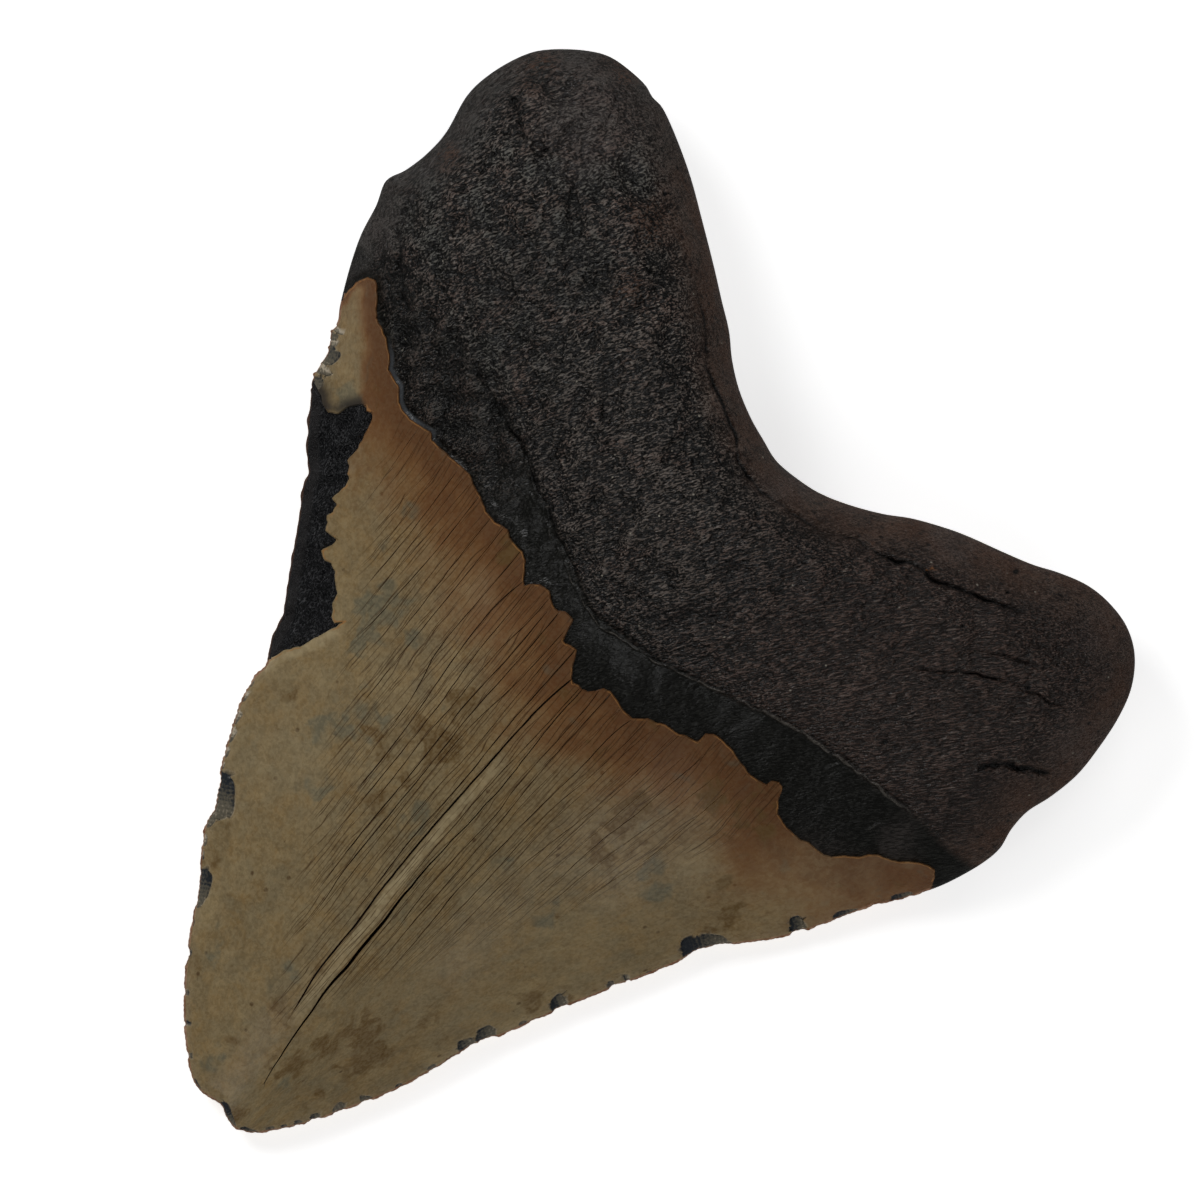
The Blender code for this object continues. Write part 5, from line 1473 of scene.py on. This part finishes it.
# %% Root: gloss and relief
tree.links.new(ease(fine_fibre, 0.3, 0.7, 0.24, 0.36), shader.inputs["Roughness"])
shader.inputs["Specular IOR Level"].default_value = 0.26
relief = plus(fibre, times(fine_fibre, 0.6))
relief = plus(relief, times(ripple, 0.6))
relief = times(relief, ease(uncovered, 0.0, 1.0, 0.2, 1.0))
finish(shader, surface, relief, 1.0, 0.00055)

# %% [markdown]
# ## Bare dentine
# Under the lost enamel lies dentine: blue-black, granular and matt, with a rusty line along the edge.

# %% Bare dentine
dentine, shader, grain = new_material("bare_dentine")
DENTINE_BLACK = colour(0.0030, 0.0032, 0.0040)
DENTINE_GREY = colour(0.060, 0.060, 0.063)
DENTINE_EDGE = colour(0.024, 0.022, 0.022)
RUSTY_LINE = colour(0.110, 0.050, 0.030)
PORE_BLACK = colour(0.003, 0.003, 0.003)
grit = put_group(grain_group, grain, width=0.2, length=0.4, seed=6.0)
coarse_grit = put_group(cloud_group, grain, size=1.0, softness=0.18, seed=7.0)
pores = put_group(pore_group, grain, spacing=0.8, share=0.5)
grains = times(ease(grit, 0.49, 0.60), ease(coarse_grit, 0.0, 1.0, 0.25, 1.0))
stone = blend(grains, DENTINE_BLACK, DENTINE_GREY)
stone = blend(times(pores, 0.6), stone, PORE_BLACK)
stone = blend(ease(mask("rim"), 2.0, 1.2, 0.0, 0.7), stone, DENTINE_EDGE)
stone = blend(ease(mask("rim"), 0.3, 0.12, 0.0, 0.8), stone, RUSTY_LINE)
shader.inputs["Roughness"].default_value = 0.26
shader.inputs["Specular IOR Level"].default_value = 0.26
finish(shader, stone, plus(grit, times(coarse_grit, 0.3)), 1.0, 0.0005)

for material in (enamel, root_material, dentine):
    tooth_mesh.materials.append(material)
print("materials:", [material.name for material in tooth_mesh.materials])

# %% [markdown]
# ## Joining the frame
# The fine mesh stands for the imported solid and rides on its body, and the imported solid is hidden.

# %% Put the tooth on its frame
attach(tooth, "root")
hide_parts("tooth")

# %% [markdown]
# ## Studio
# The tooth lies on a white table under big soft lights. Dark stone shows its relief only when the
# light comes in low, so the softboxes stand round it at a low angle, the strongest on the left, and
# the space above stays dim: a bright ceiling would put a grey veil over the black root. The table
# glows a little of its own, which keeps it evenly white without more light on the tooth.

# %% Floor, lights and camera
FLOOR_SIZE = 3.0
FLOOR_GAP = 0.00005
bpy.ops.mesh.primitive_plane_add(size=FLOOR_SIZE, location=(0.0, 0.0, -FLOOR_GAP))
floor = bpy.context.object
floor.name = "white_table"
table_material = bpy.data.materials.new("white_table")
table_material.use_nodes = True
table_finish = {"Base Color": colour(0.95, 0.95, 0.95), "Roughness": 0.9, "Specular IOR Level": 0.1,
                "Emission Color": colour(1.0, 1.0, 1.0), "Emission Strength": 0.65}
for socket, value in table_finish.items():
    table_material.node_tree.nodes["Principled BSDF"].inputs[socket].default_value = value
floor.data.materials.append(table_material)
# Mirrored in the dark, steep sides of the root, a white table would draw a grey rim round them.
floor.visible_glossy = False


def softbox(name, bearing, elevation, size, power):
    """A square soft light at a bearing (degrees from +X) and an elevation, aimed at the tooth."""
    light = bpy.data.lights.new(name, "AREA")
    light.size = size
    light.energy = power
    lamp = bpy.data.objects.new(name, light)
    turn, rise = np.radians(bearing), np.radians(elevation)
    heading = Vector((np.cos(rise) * np.cos(turn), np.cos(rise) * np.sin(turn), np.sin(rise)))
    lamp.location = LAMP_DISTANCE * heading
    lamp.rotation_euler = (-heading).to_track_quat("-Z", "Y").to_euler()
    bpy.context.collection.objects.link(lamp)


LAMP_DISTANCE = 1.0
softbox("left_softbox", 172, 42, 0.4, 3.3)
softbox("back_softbox", 105, 40, 0.5, 1.5)
softbox("right_softbox", -10, 38, 0.5, 1.5)
softbox("front_softbox", -95, 38, 0.5, 1.2)
print("lights:", [light.name for light in bpy.data.lights])
world = bpy.data.worlds.new("studio")
world.use_nodes = True
background = world.node_tree.nodes["Background"]
background.inputs["Color"].default_value = colour(1.0, 1.0, 1.0)
background.inputs["Strength"].default_value = 0.07
bpy.context.scene.world = world
bpy.context.scene.view_settings.view_transform = "Standard"

# A long lens far above the table sees the tooth almost without perspective, turned by the roll.
VIEW_WIDTH = 0.162
VIEW_CENTRE = (-0.0030, 0.0146)
VIEW_ROLL = 40
CAMERA_HEIGHT = 2.0
camera_data = bpy.data.cameras.new("overhead")
camera_data.sensor_width = 36.0
camera_data.lens = camera_data.sensor_width * CAMERA_HEIGHT / VIEW_WIDTH
camera_data.clip_end = 20.0
camera = bpy.data.objects.new("overhead", camera_data)
camera.location = (*VIEW_CENTRE, CAMERA_HEIGHT)
camera.rotation_euler = (0.0, 0.0, np.radians(VIEW_ROLL))
bpy.context.collection.objects.link(camera)
bpy.context.scene.camera = camera
